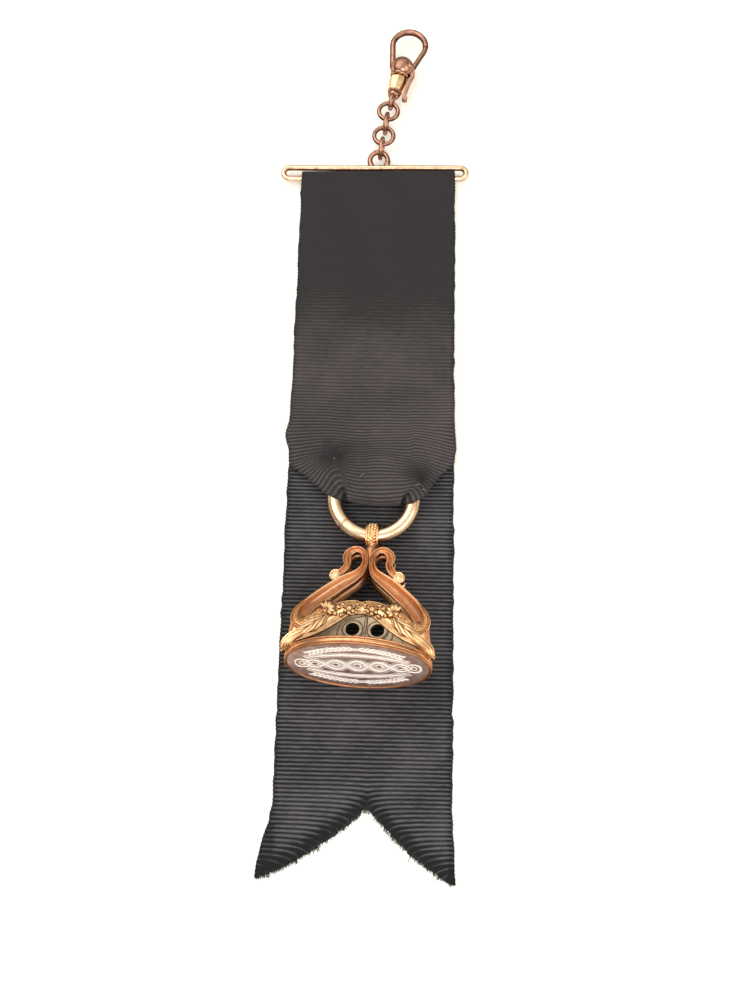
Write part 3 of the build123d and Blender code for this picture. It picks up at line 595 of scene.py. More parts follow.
def tail_place(y, side):
    """X of the swallow tail's cut edge at a height y, on one side."""
    x = np.linspace(NOTCH[0], NOTCH[0] + side * 20, 400)
    return np.interp(-y, -tail_end(x), x)


def wobble(v, seed, step, size):
    """Small uneven bends along an edge."""
    rng = np.random.default_rng(seed)
    knots = np.arange(0, v[-1] + 2 * step, step)
    return np.interp(v, knots, rng.normal(0, size, len(knots)))


def padded_cloth(shell, name, thickness, body, finish):
    """Makes cloth of even thickness below a shell of its upper side."""
    piece = shell.make(name, look(finish), body=body)
    mesh = bmesh.new()
    mesh.from_mesh(piece.data)
    bmesh.ops.remove_doubles(mesh, verts=mesh.verts, dist=0.002 * MM)
    bmesh.ops.dissolve_degenerate(mesh, edges=mesh.edges, dist=0.001 * MM)
    mesh.to_mesh(piece.data)
    mesh.free()
    modifier = piece.modifiers.new("cloth", "SOLIDIFY")
    modifier.thickness = thickness * MM
    modifier.offset = -1.0
    plain(piece)
    return piece


def build_back():
    """Back layer with its swallow tail and wavy selvages."""
    v = ribbed(BACK_LENGTH)
    level = BACK_START - v
    cut = level < NOTCH[1]
    shell = Shell()
    for side in (-1, 1):
        flare = FLARES[side] * smooth(*FLARE_FROM_TO, level)
        outer = side * (HALF_WIDTH + flare + scalloped(v)) + wobble(v, 7 + side, 1.4, 0.09)
        inner = np.full_like(v, NOTCH[0])
        ragged = wobble(v, 30 + side, 0.8, 0.17) + wobble(v, 40 + side, 0.3, 0.09)
        inner[cut] = tail_place(level[cut], side) + ragged[cut]
        keep = (outer - inner) * side > 0.05
        share = np.linspace(0, 1, 21) ** (1 + 0.6 * smooth(-68, -78, level))[:, None]
        x = (inner[:, None] + (outer - inner)[:, None] * share)[keep]
        y = level[keep][:, None] + 0 * x
        near = 0.8 * (y - tail_end(x))
        along = v[keep][:, None] - 1.5 * np.exp(-near / 1.7)
        sag = 0.10 * np.sin(x * 0.35 + y * 0.11) * smooth(10, 16, np.abs(x))
        lift = 0.35 * smooth(-70, -89, y) * (0.5 + 0.5 * np.sin(x * 0.45 + 1.0))
        under_wire = 1 - smooth(47.5, 49.0, y)
        sheen_and_wear = 0.25 * np.sin(2.1 * x + 0.7 * y) + 0.2 * np.sin(0.9 * x - 1.3 * y)
        frayed = 1 - smooth(0.4, 3.6, near + sheen_and_wear)
        ribs = rib_height(along, RIB_RISE) * (1 - 0.6 * frayed)
        ribs += 0.12 * np.clip(sag + 0.05, 0, 1)
        z = BACK_HEIGHT + ribs * under_wire + lift
        selvage = smooth(HALF_WIDTH - 1.0, HALF_WIDTH - 0.4, np.abs(x))
        shell.grid(
            np.stack([x, y, z], axis=-1),
            uv=np.stack([x, along], axis=-1),
            mark=0.30 * selvage + 0.60 * frayed,
            flip=side > 0,
        )
    back = padded_cloth(shell, "ribbon_under", BACK_THICKNESS, "ribbon", "silk_low")
    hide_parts("ribbon_back")
    return back


def build_fringe():
    """Frayed threads along the swallow tail's cut edges."""
    rng = np.random.default_rng(19)
    shell = Shell()
    for x in np.sort(rng.uniform(-18.3, 16.3, 460)):
        y = float(tail_end(np.array(x)))
        tuft = max(0.0, math.sin(2.6 * x) * math.sin(1.1 * x + 1.0))
        length = rng.uniform(0.1, 0.4) + (rng.random() < 0.12) * rng.uniform(0.2, 0.5)
        length += 0.45 * tuft
        lean = rng.normal(0, 0.25)
        base = np.array([x, y + 0.5, BACK_HEIGHT + rng.uniform(0, 0.2)])
        steps = np.linspace(0, 1, 5)[:, None]
        bend = rng.normal(0, 0.12)
        aside = lean * steps + bend * steps**2
        path = base + np.hstack([aside, -steps, 0 * steps]) * (length + 0.5)
        path[:, 2] -= 0.28 * steps[:, 0] ** 2
        tube(shell, path, 0.075 * (1 - 0.5 * steps[:, 0]), sides=5)
    fringe = shell.make("tail_fringe", look("thread"), body="ribbon")
    return fringe


# Edges and creases of the gathered front layer, by their place across the cloth (-1 to 1). Each
# runs from the start of the gathers (0) to the last rib before it turns under (1): share, then
# x, y and height
GATHER_LINES = {
    -1.00: [
        (0.00, -16.0, 4.0, 1.50), (0.30, -16.15, -3.0, 1.60), (0.42, -16.8, -6.3, 1.95),
        (0.53, -16.0, -9.3, 1.75), (0.63, -15.6, -12.2, 1.55), (0.74, -12.9, -14.6, 2.10),
        (0.84, -10.4, -17.0, 3.20), (0.92, -8.3, -19.1, 4.15), (0.96, -6.7, -19.9, 5.05),
        (0.984, -5.5, -20.1, 4.40), (1.00, -4.9, -19.6, 2.70),
    ],
    -0.46: [
        (0.00, -7.4, 4.0, 1.55), (0.30, -7.4, -3.2, 1.90), (0.50, -7.3, -8.0, 2.80),
        (0.60, -7.2, -10.3, 3.30), (0.74, -6.9, -11.6, 4.00), (0.85, -6.2, -13.7, 4.75),
        (0.93, -5.2, -16.9, 5.05), (1.00, -4.5, -18.9, 2.60),
    ],
    -0.42: [
        (0.00, -6.7, 4.0, 1.55), (0.30, -6.7, -3.3, 1.90), (0.50, -6.5, -8.1, 2.80),
        (0.60, -6.2, -10.6, 3.40), (0.70, -5.6, -12.6, 4.10), (0.80, -5.0, -14.8, 4.60),
        (0.90, -4.5, -17.4, 4.60), (1.00, -4.2, -20.0, 4.10),
    ],
    -0.15: [
        (0.00, -2.4, 4.0, 1.55), (0.28, -2.4, -2.8, 1.75), (0.45, -2.4, -7.0, 2.20),
        (0.58, -2.2, -10.2, 3.60), (0.67, -2.0, -12.4, 4.95), (0.78, -1.8, -14.9, 5.00),
        (0.88, -1.6, -17.4, 4.70), (0.95, -1.5, -19.2, 4.10), (1.00, -1.5, -20.2, 3.20),
    ],
    0.08: [
        (0.00, 1.3, 4.0, 1.55), (0.25, 1.3, -2.0, 1.70), (0.42, 1.3, -6.0, 1.90),
        (0.58, 1.4, -9.8, 3.40), (0.67, 1.5, -12.0, 5.00), (0.78, 1.6, -14.7, 5.05),
        (0.88, 1.7, -17.3, 4.70), (0.95, 1.7, -19.3, 4.00), (1.00, 1.7, -20.45, 3.10),
    ],
    0.44: [
        (0.00, 7.0, 4.0, 1.55), (0.30, 7.0, -3.2, 1.75), (0.50, 7.1, -7.8, 2.40),
        (0.63, 7.2, -11.5, 3.70), (0.74, 7.0, -14.0, 4.75), (0.84, 6.6, -16.2, 5.05),
        (0.93, 6.2, -18.5, 4.60), (1.00, 5.8, -20.3, 3.70),
    ],
    0.50: [
        (0.00, 8.0, 4.0, 1.55), (0.30, 8.0, -3.0, 1.75), (0.50, 8.2, -7.4, 2.30),
        (0.63, 8.6, -11.0, 3.30), (0.74, 8.8, -13.4, 4.20), (0.84, 8.4, -15.8, 5.00),
        (0.93, 7.6, -18.2, 5.10), (1.00, 6.1, -19.2, 2.60),
    ],
    1.00: [
        (0.00, 16.0, 4.0, 1.50), (0.30, 16.1, -3.0, 1.60), (0.45, 16.4, -7.6, 1.75),
        (0.60, 16.0, -11.2, 1.60), (0.70, 14.0, -13.6, 1.90), (0.81, 11.9, -16.4, 2.90),
        (0.90, 10.1, -19.3, 3.95), (0.95, 8.4, -20.5, 5.05), (0.98, 7.1, -20.7, 4.45),
        (1.00, 6.3, -20.2, 2.70),
    ],
}


def gather(t, u):
    """Place of the gathered layer's upper side at a share t along and u across."""
    shares = sorted(GATHER_LINES)
    tables = [np.array(GATHER_LINES[share]) for share in shares]
    lines = np.stack([steady(t, table[:, 0], table[:, 1:]) for table in tables])
    return np.stack([steady(u, shares, lines[:, i]) for i in range(len(t))])


def tuck_under(top, v, t, u):
    """Turns the rows past the last gathered one down behind it, deepest in the middle."""
    last = np.where(t <= 1)[0][-1]
    middle = 1 - smooth(0.40, 0.55, np.abs(u))
    for row in np.where(t > 1)[0]:
        share = (v[row] - v[last]) / END_RUN
        angle = share * math.pi * 0.9
        top[row] = top[last]
        top[row, :, 2] -= 0.9 * (1 - math.cos(angle)) * (0.35 + 0.65 * middle)
        top[row, :, 1] += -0.35 * math.sin(angle) + 0.8 * share * share


def pinch(top, t):
    """Draws the cloth in at its tacks, and gives a mark there that flattens its ribs and paints
    shade into the gathers.
    """
    x, y = top[..., 0].copy(), top[..., 1].copy()
    mark = np.zeros_like(x)
    rows = smooth(0.02, 0.2, t)[:, None]
    for tack_x, tack_y, size, strength in TACKS:
        away = np.hypot(x - tack_x, y - tack_y)
        angle = np.arctan2(y - tack_y, x - tack_x)
        spread = np.exp(-((away / size) ** 2))
        rays = np.cos(5 * angle + 1.1 * np.sin(3 * angle)) * spread * smooth(0.2, 1.2, away)
        pit = np.exp(-((away / (0.45 * size)) ** 2))
        top[..., 2] += rows * strength * (0.16 * rays - 0.60 * pit)
        # Painted shade in each tack's pit and over the gathers round it.
        mark += rows * strength * (0.30 * pit + 0.95 * spread)
    return mark


def build_front():
    """Front layer: round the bar's wire, flat, then gathered and down through the ring."""
    length = FOLD_RUN + FLAT_RUN + GATHER_RUN + END_RUN
    v = ribbed(length)
    u = np.linspace(-1, 1, 73)
    rng = np.random.default_rng(5)
    jitter = np.interp(v, np.arange(0, 100, 1.7), rng.normal(0, 0.07, 59))
    edge = scalloped(v) + jitter
    turn = v < FOLD_RUN
    swing = v / FOLD_RUN * math.pi - math.pi / 2
    y = np.where(turn, WIRE_PLACE + FOLD_REACH * np.cos(swing), WIRE_PLACE - (v - FOLD_RUN))
    level = WIRE_LEVEL + (FLAT_LEVEL - WIRE_LEVEL) * smooth(WIRE_PLACE, WIRE_PLACE - 10.5, y)
    reach = np.where(swing > 0, FOLD_ABOVE, FOLD_BELOW)
    z = np.where(turn, WIRE_HEIGHT + reach * np.sin(swing), level)
    top = np.empty((len(v), len(u), 3))
    top[..., 0] = (HALF_WIDTH - 0.15 + edge)[:, None] * u
    slant = math.tan(math.radians(FOLD_SLANT)) * smooth(20, WIRE_PLACE, y)
    top[..., 1] = y[:, None] + slant[:, None] * top[..., 0]
    top[..., 2] = z[:, None]
    t = (v - FOLD_RUN - FLAT_RUN) / GATHER_RUN
    inside = t > 0
    top[inside] = gather(np.clip(t[inside], 0, 1), u)
    top[inside, :, 0] += edge[inside, None] * np.sign(u) * smooth(0.93, 1.0, np.abs(u))
    tuck_under(top, v, t, u)
    x, yy = top[..., 0].copy(), top[..., 1].copy()
    mark = pinch(top, t)
    sway = 0.10 * np.sin(0.42 * x + 0.16 * yy) + 0.07 * np.sin(0.21 * yy - 0.3 * x + 1.0)
    top[..., 2] += sway * (1 - turn)[:, None]
    normal = unit(np.cross(np.gradient(top, axis=1), np.gradient(top, axis=0)))
    normal *= np.where(normal[..., 2:3].mean() < 0, -1, 1)
    tight = smooth(0.86, 1.0, t)[:, None] * smooth(0.36, 0.48, np.abs(u))
    fade = (1 - 0.8 * np.clip(np.maximum(mark, tight), 0, 1)) * (1 - 0.7 * turn)[:, None]
    fade *= 1 - 0.55 * smooth(-3, 9, yy)
    top += normal * (rib_height(v[:, None], RIB_RISE) * fade)[..., None]
    uv = np.stack([HALF_WIDTH * u + 0 * x, v[:, None] + 0 * x], axis=-1)
    # Darker selvages at the edges; toward the top of the front layer the painted rib highlights are
    # taken down.
    mark += 0.25 * smooth(0.95, 0.985, np.abs(u)) + (0.62 * smooth(12, 30, y))[:, None]
    shell = Shell()
    shell.grid(top, uv=uv, mark=mark, flip=True)
    front = padded_cloth(shell, "ribbon_over", FRONT_THICKNESS, None, "silk")
    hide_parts("ribbon_front", "ribbon_fold")
    return front, length


def build_turn_up():
    """End of the ribbon sewn up behind the front layer."""
    v = ribbed(TURN_UP_LENGTH)
    u = np.linspace(-1, 1, 61)
    y = TURN_UP_WIDTHS[0][0] + v
    half = np.interp(y, *zip(*TURN_UP_WIDTHS))
    x = 0.4 + half[:, None] * u
    z = 1.06 + rib_height(v[:, None], 0.10)
    shell = Shell()
    shell.grid(
        np.stack([x, y[:, None] + 0 * x, z + 0 * x], axis=-1),
        uv=np.stack([HALF_WIDTH * u + 0 * x, v[:, None] + 0 * x], axis=-1),
    )
    return padded_cloth(shell, "ribbon_turn_up", TURN_UP_THICKNESS, "front_fall", "silk")


def stitch(shell, middle, turn, length, arch, radius, count):
    """Adds a short thread that arches over its middle, turned by an angle in degrees."""
    steps = np.linspace(-1, 1, count)[:, None]
    line = np.array([math.cos(math.radians(turn)), math.sin(math.radians(turn)), 0])
    path = np.array(middle) + line * steps * length
    path[:, 2] += arch * (1 - steps[:, 0] ** 2)
    tube(shell, path, radius, sides=count + 1)


def build_tacks():
    """Short loose stitches at the gathers and a few light thread ends."""
    rng = np.random.default_rng(3)
    shell = Shell()
    pale = Shell()
    for x, y, z, turn, count in ((-7.3, -11.4, 3.35, 60, 8), (9.3, -15.6, 4.45, -40, 7)):
        for _ in range(count):
            angle = turn + rng.normal(0, 30)
            middle = (x + rng.normal(0, 0.75), y + rng.normal(0, 0.75), z + 0.15)
            stitch(shell, middle, angle, rng.uniform(0.3, 0.55), 0.35, 0.085, 7)
    for x, y, z, turn, length in (
        (-7.0, -12.1, 4.0, 85, 0.35),
        (-1.6, -15.6, 5.2, 35, 0.35),
        (8.9, -17.3, 5.3, 10, 0.45),
        (10.1, -18.0, 4.4, -20, 0.30),
        (9.4, -8.0, 1.95, 60, 0.30),
    ):
        stitch(pale, (x, y, z + 0.1), turn, length, 0.12, 0.055, 5)
    threads = shell.make("tack_threads", look("thread"), body="front_fall")
    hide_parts("tack_stitches")
    lint = pale.make("thread_ends", look("lint"), body="front_fall")
    return [threads, lint]


# Bar, chain and ring


def bar_matrix():
    """Place of the bar: its lower wire on the X axis, its top wire along +Y."""
    return moved((0, WIRE_PLACE, WIRE_HEIGHT)) @ spun(BAR_SLANT, "Z") @ spun(BAR_TILT, "X")


def build_bar():
    """Oblong wire loop and its soldered eye."""
    bend = BAR_SPREAD / 2
    line = np.linspace(-BAR_RUN / 2, BAR_RUN / 2, 60, endpoint=False)
    arc = np.linspace(-math.pi / 2, math.pi / 2, 20, endpoint=False)
    bottom = np.stack([line, 0 * line, 0 * line], -1)
    path = np.vstack(
        [
            bottom,
            circle(arc, bend, (BAR_RUN / 2, bend, 0)),
            bottom * [-1, 1, 1] + [0, BAR_SPREAD, 0],
            circle(arc, -bend, (-BAR_RUN / 2, bend, 0)),
        ]
    )
    path[:, 0] += BAR_MIDDLE
    path[:, 1] += 0.05 * np.sin(path[:, 0] * 0.22) * (path[:, 1] > bend)
    shell = Shell()
    # Painted shade on the wire's flanks and on the inside of the loop.
    tube(shell, path, BAR_WIRE, sides=24, closed=True, flanks=0.2, inner=0.75)
    bar = shell.make("bar_wire", look("bar"), place=bar_matrix(), body="bar")
    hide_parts("ribbon_bar")
    eye_path = circle(np.radians(np.linspace(-40, 220, 60)), EYE_RADIUS, EYE_MIDDLE)
    share = np.linspace(0, 1, len(eye_path))
    thick = 0.50 + 0.08 * (smooth(0.25, 0.0, share) + smooth(0.75, 1.0, share))
    eye_shell = Shell()
    # Painted shade on the eye's flanks.
    tube(eye_shell, eye_path, thick, sides=20, flanks=0.8)
    eye = eye_shell.make("bar_eye_ring", look("red"), place=bar_matrix(), body="bar")
    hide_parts("bar_eye")


# Links: body, middle, and whether it stands on edge
LINK_PLACES = [
    ("link_1", (0.496, 57.854, 2.45), True),
    ("link_2", (0.921, 60.875, 2.45), False),
    ("link_3", (1.345, 63.896, 2.45), True),
    ("link_4", (1.770, 66.916, 2.45), False),
]
LINK_RADIUS = 2.0
LINK_WIRE = 0.45
CHAIN_HEADING = 8.0


def build_links():
    """Four round links with a soldered joint each."""
    angle = round_angles(72)
    for index, (body, middle, on_edge) in enumerate(LINK_PLACES):
        gap = np.minimum(np.abs(angle - 1.1), 2 * math.pi - np.abs(angle - 1.1))
        joint = np.exp(-((gap / 0.05) ** 2))
        radius = LINK_WIRE - 0.03 * joint + 0.012 * np.sin(3 * angle + index)
        shell = Shell()
        # Painted shade on the flanks: heavy on links that lie flat, light on links that stand on
        # edge.
        flanks = 0.1 if on_edge else 0.8
        tube(shell, circle(angle, LINK_RADIUS), radius, closed=True, flanks=flanks)
        place = moved(middle) @ spun(-CHAIN_HEADING, "Z") @ spun(90 if on_edge else 0, "Y")
        link = shell.make(f"round_{body}", look("red"), place=place, body=body)
        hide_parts("chain_" + body)


def build_ring():
    """Heavy ring with a fine butt joint at its lower left."""
    angle = round_angles(220)
    sides = 40
    step = np.abs(angle - math.radians(RING_JOINT)) * RING_RADIUS
    radius = RING_TUBE - 0.16 * np.exp(-((step / 0.10) ** 2)) + 0.012 * np.sin(5 * angle)
    shell = Shell()
    # Painted shade on the ring's flanks.
    tube(shell, circle(angle, RING_RADIUS), radius, sides, closed=True, flanks=0.45)
    shell.marks[0] += np.repeat(np.exp(-((step / 0.13) ** 2)) * 1.2, sides)
    ring = shell.make("heavy_ring", look("ring"), place=moved(RING_CENTRE), body="ring")
    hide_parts("split_ring")


# Watch swivel

SWIVEL_PLACE = (4.46751, 77.7344, 2.45)
SWIVEL_HEADING = 14.0
# Pear-shaped loop: its wire, the radius and middle of its crown, and the lean of its legs
HOOK_WIRE = 0.60
GATE_WIRE = 0.54
CROWN_RADIUS = 3.5
CROWN_ALONG = 5.9
LEG_LEAN = math.radians(14.5)
# Gate lever's outline with its thumb tail: across and along
GATE_OUTLINE = [
    (1.55, 0.95), (2.30, 0.78), (2.70, 0.10), (3.02, -1.15), (2.95, -1.60), (2.78, -2.60),
    (2.62, -4.20), (2.52, -6.00), (2.60, -6.80), (2.98, -7.05), (3.05, -7.45), (2.80, -7.85),
    (2.30, -7.90), (1.95, -7.60), (1.86, -7.20), (1.88, -5.60), (2.02, -3.40), (2.30, -1.80),
    (2.10, -1.20), (1.55, -0.95), (0.85, -0.70), (0.58, 0.0), (0.85, 0.70),
]


def swivel_matrix():
    """Place of the swivel: its ball at the origin, its loop along +Y."""
    return moved(SWIVEL_PLACE) @ spun(-SWIVEL_HEADING, "Z")


def leg(side, start, end):
    """Straight side of the loop between two places along it."""
    along = np.linspace(start, end, 14)
    slope = math.tan(LEG_LEAN)
    across = CROWN_RADIUS / math.cos(LEG_LEAN) - CROWN_ALONG * slope + along * slope
    return np.stack([side * across, along, 0 * along], -1)


def crown(start, end, count):
    """Round end of the loop between two angles in degrees."""
    angle = np.radians(np.linspace(start, end, count))
    return circle(angle, CROWN_RADIUS, (0, CROWN_ALONG, 0))


def build_hook():
    """Fixed side of the loop, over its crown to the tip."""
    path = np.vstack([leg(-1, -0.4, 4.7), crown(193.5, 7.3, 70)])
    share = np.linspace(0, 1, len(path))
    shell = Shell()
    thick = HOOK_WIRE + 0.07 * np.exp(-((share - 0.62) / 0.22) ** 2)
    # Painted shade on the wire's flanks.
    tube(shell, path, thick, sides=22, flanks=0.9)
    hook = shell.make("loop_hook", look("red"), place=swivel_matrix(), body="swivel")
    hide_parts("swivel_hook")


def build_gate():
    """Sprung gate of the loop: its wire, and the lever with its thumb tail."""
    shell = Shell()
    path = np.vstack([crown(4.9, -13.5, 12), leg(1, 4.7, 0.5)])
    # Painted shade on the wire's flanks.
    tube(shell, path, GATE_WIRE, sides=22, flanks=0.9)
    dense = curve_through(GATE_OUTLINE + GATE_OUTLINE[:1], 120)[:-1]
    inward = unit(dense - dense.mean(axis=0)) * 1.2
    layers = []
    for share, height in ((0.90, -0.52), (1.0, -0.38), (1.0, 0.38), (0.90, 0.52)):
        layers.append(np.hstack([dense - inward * (1 - share), np.full((len(dense), 1), height)]))
    layers = np.array(layers)
    shell.grid(layers, wrap_cols=True)
    for layer, flip in ((layers[0], True), (layers[-1], False)):
        partner = layer[-np.arange(len(layer)) % len(layer)]
        shell.grid(np.stack([layer, (layer + partner) / 2]), wrap_cols=True, flip=flip)
    gate = shell.make("loop_gate", look("red"), place=swivel_matrix(), body="gate")
    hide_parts("swivel_gate")


def build_barrel():
    """Collars and eight-sided barrel below the ball."""
    shell = Shell()
    for start, profile in (
        (-2.02, [(0.0, 0.5), (1.2, 0.45), (1.85, 0.25), (1.98, 0.02), (1.98, -0.16),
                 (1.80, -0.34), (1.62, -0.42)]),
        (-6.22, [(1.30, 0.30), (1.50, 0.16), (1.55, 0.0), (1.48, -0.18), (1.20, -0.26),
                 (0.56, -0.26)]),
    ):
        turned(shell, profile, start=(0, start, 0), axis="y")
    collar = shell.make("barrel_collars", look("red"), place=swivel_matrix(), body="swivel")
    facets = Shell()
    rings = [
        circle(round_angles(8), radius, (0, along, 0), (0, 2))
        for radius, along in (
            (1.55, -2.35), (1.80, -3.0), (1.72, -4.0), (1.46, -5.4), (1.30, -6.05)
        )
    ]
    facets.grid(np.array(rings), wrap_cols=True)
    barrel = facets.make(
        "faceted_barrel", look("pale"), place=swivel_matrix(), body="swivel", flat=True
    )
    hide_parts("swivel_barrel")


def build_swivel():
    """Pear-shaped loop with its gate, the ball, the barrel and the turning eye."""
    build_hook()
    build_gate()
    build_barrel()
    wear_cad("swivel_body", "red")
    wear_cad("gate_pin", "pale")
    wear_cad("gate_spring", "steel")
    wear_cad("shank_rivet", "red")
    shell = Shell()
    turned(
        shell,
        [(0.5, 0.0), (1.22, 0.0), (1.30, -0.18), (1.28, -0.5), (1.05, -0.85), (0.72, -1.05),
         (0.0, -1.10)],
        start=(0, -6.55, 0),
        axis="y",
    )
    angle = round_angles(64)
    thick = 0.45 + 0.12 * (0.5 + 0.5 * np.cos(angle)) ** 2
    path = circle(angle, 1.35, (0, -8.75, 0), (1, 2))
    tube(shell, path, thick, closed=True, front=(1, 0, 0))
    end = shell.make("turning_eye", look("red"), place=swivel_matrix(), body="swivel_end")
    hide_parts("swivel_eye")


# Seal


def seal_matrix():
    """Place of the seal: the bail at the origin, the base along -Z, its front along -Y."""
    place = moved((RING_CENTRE[0], RING_CENTRE[1] - RING_RADIUS, RING_CENTRE[2]))
    return place @ spun(-SEAL_YAW, "Z") @ spun(-90 - SEAL_TILT, "X") @ spun(-SEAL_ROLL, "Z")


def seal_path(stations, side=1, depth_side=1, count=140):
    """Path on the seal from stations of place across, down and forward; the rest rides along."""
    table = curve_through(stations, count)
    path = np.stack([side * table[:, 0], -depth_side * table[:, 2], -table[:, 1]], axis=-1)
    return path, table[:, 3:]


def ridge_profile(count, ridges, flute=None, dome=0.62):
    """Section with ridges: places across, heights, marks of painted shade (with patina in the
    grooves, and on the rear), its front's count and its flute.
    """
    a = np.linspace(0.5, -0.5, count)
    rise = dome * (np.sqrt(np.clip(1 - (2 * a) ** 2 * 0.85, 0, 1)) - 0.2 * math.sqrt(0.15))
    fine = sum(height * np.exp(-(((a - place) / width) ** 2)) for place, width, height in ridges)
    # Grooves between the ridges get patina and painted shade.
    sunk = np.clip(0.75 - fine / fine.max() * 1.5, 0, 1) * (np.abs(a) > 0.15)
    rear = np.linspace(-0.5, 0.5, 12)[1:-1]
    sides = np.concatenate([a, rear])
    rises = np.concatenate([rise + fine, -0.5 * np.sqrt(1 - (2 * rear) ** 2)])
    # The rear side gets painted shade all over.
    marks = np.concatenate([0.7 * sunk, np.full(len(rear), 0.7)])
    return sides, rises, marks, count, flute


def band(shell, stations, profile, side=1, depth_side=1, count=140, fade=1.0):
    """Adds a moulded band along stations that also give its width and depth."""
    path, extra = seal_path(stations, side, depth_side, count)
    across, face = frames(path, (0, -depth_side, 0))
    flip = side * depth_side
    sides, rises, marks, front, flute = profile
    width, depth = extra[:, :1], extra[:, 1:]
    rises = np.broadcast_to(rises, (count, len(sides))).copy()
    mark = np.broadcast_to(marks, rises.shape).copy()
    if flute is not None:
        place, reach, sunk = flute
        share = np.broadcast_to(np.clip(fade, 1e-3, 1), count)[:, None]
        away = (sides[None, :front] - place) / (reach * share)
        bowl = np.sqrt(np.clip(1 - away**2, 0, 1)) * share
        rises[:, :front] -= sunk * bowl
        # The flute is darkened most in its middle: patina and painted shade in the recess.
        mark[:, :front] = np.maximum(mark[:, :front] * (bowl < 0.05), bowl**2)
    points = section(path, across, face, sides * width * flip, rises * depth)
    shut(shell, points, mark, flip)


def leaf(shell, stations, side, ridges, slant, count=80, wide=25, scallop=0.22, vein=0.22):
    """Adds a leaf: a domed blade with slanting veins from its midrib and a scalloped edge, darkened
    by painted shade with patina in its troughs and midrib, and by painted shade at its edges and
    rear.
    """
    path, extra = seal_path(stations, side, 1, count)
    across, face = frames(path, (0, -1, 0))
    v = np.linspace(1, -1, wide)
    rear = np.linspace(-1, 1, 10)[1:-1]
    share = np.linspace(0, 1, count)[:, None]
    wave = 0.5 + 0.5 * np.cos(2 * math.pi * (ridges * share - slant * np.abs(v)))
    edge = 0.5 + 0.5 * np.cos(2 * math.pi * (ridges * share - slant))
    midrib = np.exp(-((v / 0.10) ** 2))
    rise = 0.55 * np.sqrt(1 - 0.97 * v**2) + vein * wave * (0.35 + 0.65 * np.abs(v))
    rise = rise - 0.18 * midrib
    sides = np.hstack([v * (1 - scallop * (1 - edge)), rear * (1 - scallop * (1 - edge))]) / 2
    rises = np.hstack([rise, np.broadcast_to(-0.4 * np.sqrt(1 - rear**2), (count, len(rear)))])
    # Troughs between the veins and the midrib's groove get patina and painted shade; the blade's
    # edges and its rear get painted shade.
    sunk = 0.95 * (1 - wave) ** 2 + 0.6 * midrib + 0.5 * smooth(0.8, 1.0, np.abs(v))
    mark = np.hstack([np.clip(sunk, 0, 1), np.full((count, len(rear)), 0.6)])
    width, depth = extra[:, :1], extra[:, 1:]
    shut(shell, section(path, across, face, sides * width * side, rises * depth), mark, side)


def toward(degrees):
    """Direction over the seal's front at an angle in degrees."""
    return np.array([math.cos(math.radians(degrees)), -math.sin(math.radians(degrees)), 0.0])


# Stations along bands of the seal: place across, down and forward, then width and depth
ARM_STATIONS = [
    (5.75, 9.45, 1.00, 1.50, 1.50), (4.95, 8.95, 1.00, 1.36, 1.50), (4.22, 8.20, 1.00, 1.25, 1.50),
    (3.88, 7.20, 1.00, 1.32, 1.55), (4.12, 5.80, 1.00, 1.60, 1.60), (3.55, 4.55, 1.00, 1.44, 1.60),
    (2.30, 3.98, 1.00, 1.20, 1.60), (1.18, 4.62, 1.00, 1.10, 1.60), (0.68, 5.80, 1.00, 1.12, 1.60),
    (0.70, 7.15, 1.00, 1.20, 1.65), (1.40, 8.95, 1.06, 1.80, 1.85),
    (3.95, 11.20, 1.20, 2.70, 2.10), (6.60, 13.60, 1.40, 2.95, 2.25),
    (8.35, 15.35, 1.70, 2.90, 2.25), (9.80, 17.25, 2.10, 2.90, 2.25),
    (10.65, 18.95, 2.40, 2.80, 2.20), (11.15, 20.80, 2.60, 2.45, 2.10),
    (11.35, 22.60, 2.70, 2.25, 2.00), (11.40, 24.10, 2.75, 2.25, 1.95),
    (11.35, 25.60, 2.75, 2.40, 2.00),
]
# Volute that curls round the lower end of the arm's flute
VOLUTE_STATIONS = [
    (10.05, 15.6, 2.55, 0.5, 0.7), (11.20, 17.5, 3.00, 1.0, 1.0), (11.70, 19.2, 3.20, 1.5, 1.2),
    (11.25, 20.9, 3.35, 1.9, 1.3), (9.95, 21.6, 3.55, 2.2, 1.4), (8.60, 21.0, 3.75, 2.4, 1.4),
    (7.60, 19.8, 3.80, 2.2, 1.3), (6.85, 18.4, 3.75, 1.5, 1.1), (6.45, 17.3, 3.60, 0.7, 0.8),
]
ARCH_STATIONS = [
    (-0.35, 17.75, 3.25, 1.80, 0.95), (0.55, 17.50, 3.38, 2.70, 1.12),
    (1.80, 17.55, 3.45, 3.00, 1.22), (3.50, 18.20, 3.50, 3.35, 1.30),
    (5.20, 19.50, 3.60, 3.60, 1.30), (6.90, 21.00, 3.75, 3.50, 1.30),
    (8.60, 22.40, 3.90, 3.00, 1.25), (10.20, 23.50, 3.95, 2.30, 1.15),
    (11.60, 24.30, 3.75, 1.50, 1.00),
]
FOOT_STATIONS = [
    (8.8, 22.2, 3.8, 1.4, 0.8), (10.4, 23.4, 4.05, 2.1, 1.1), (11.8, 24.4, 3.75, 2.3, 1.2),
    (12.8, 25.3, 3.15, 1.7, 1.0), (13.15, 25.9, 2.6, 0.6, 0.6),
]
SPRAY_STATIONS = [
    (5.6, 18.7, 3.9, 1.3, 0.7), (6.7, 20.0, 4.15, 2.5, 0.9), (7.9, 21.2, 4.3, 2.9, 0.95),
    (9.2, 22.3, 4.3, 2.5, 0.9), (10.3, 23.1, 4.2, 1.5, 0.7),
]
# Lowest point of the arm's flute, where it closes, and the middle of the arm's rolled end
FLUTE_END = 20.2
ROLL_MIDDLE = (5.85, 0.0, -9.72)


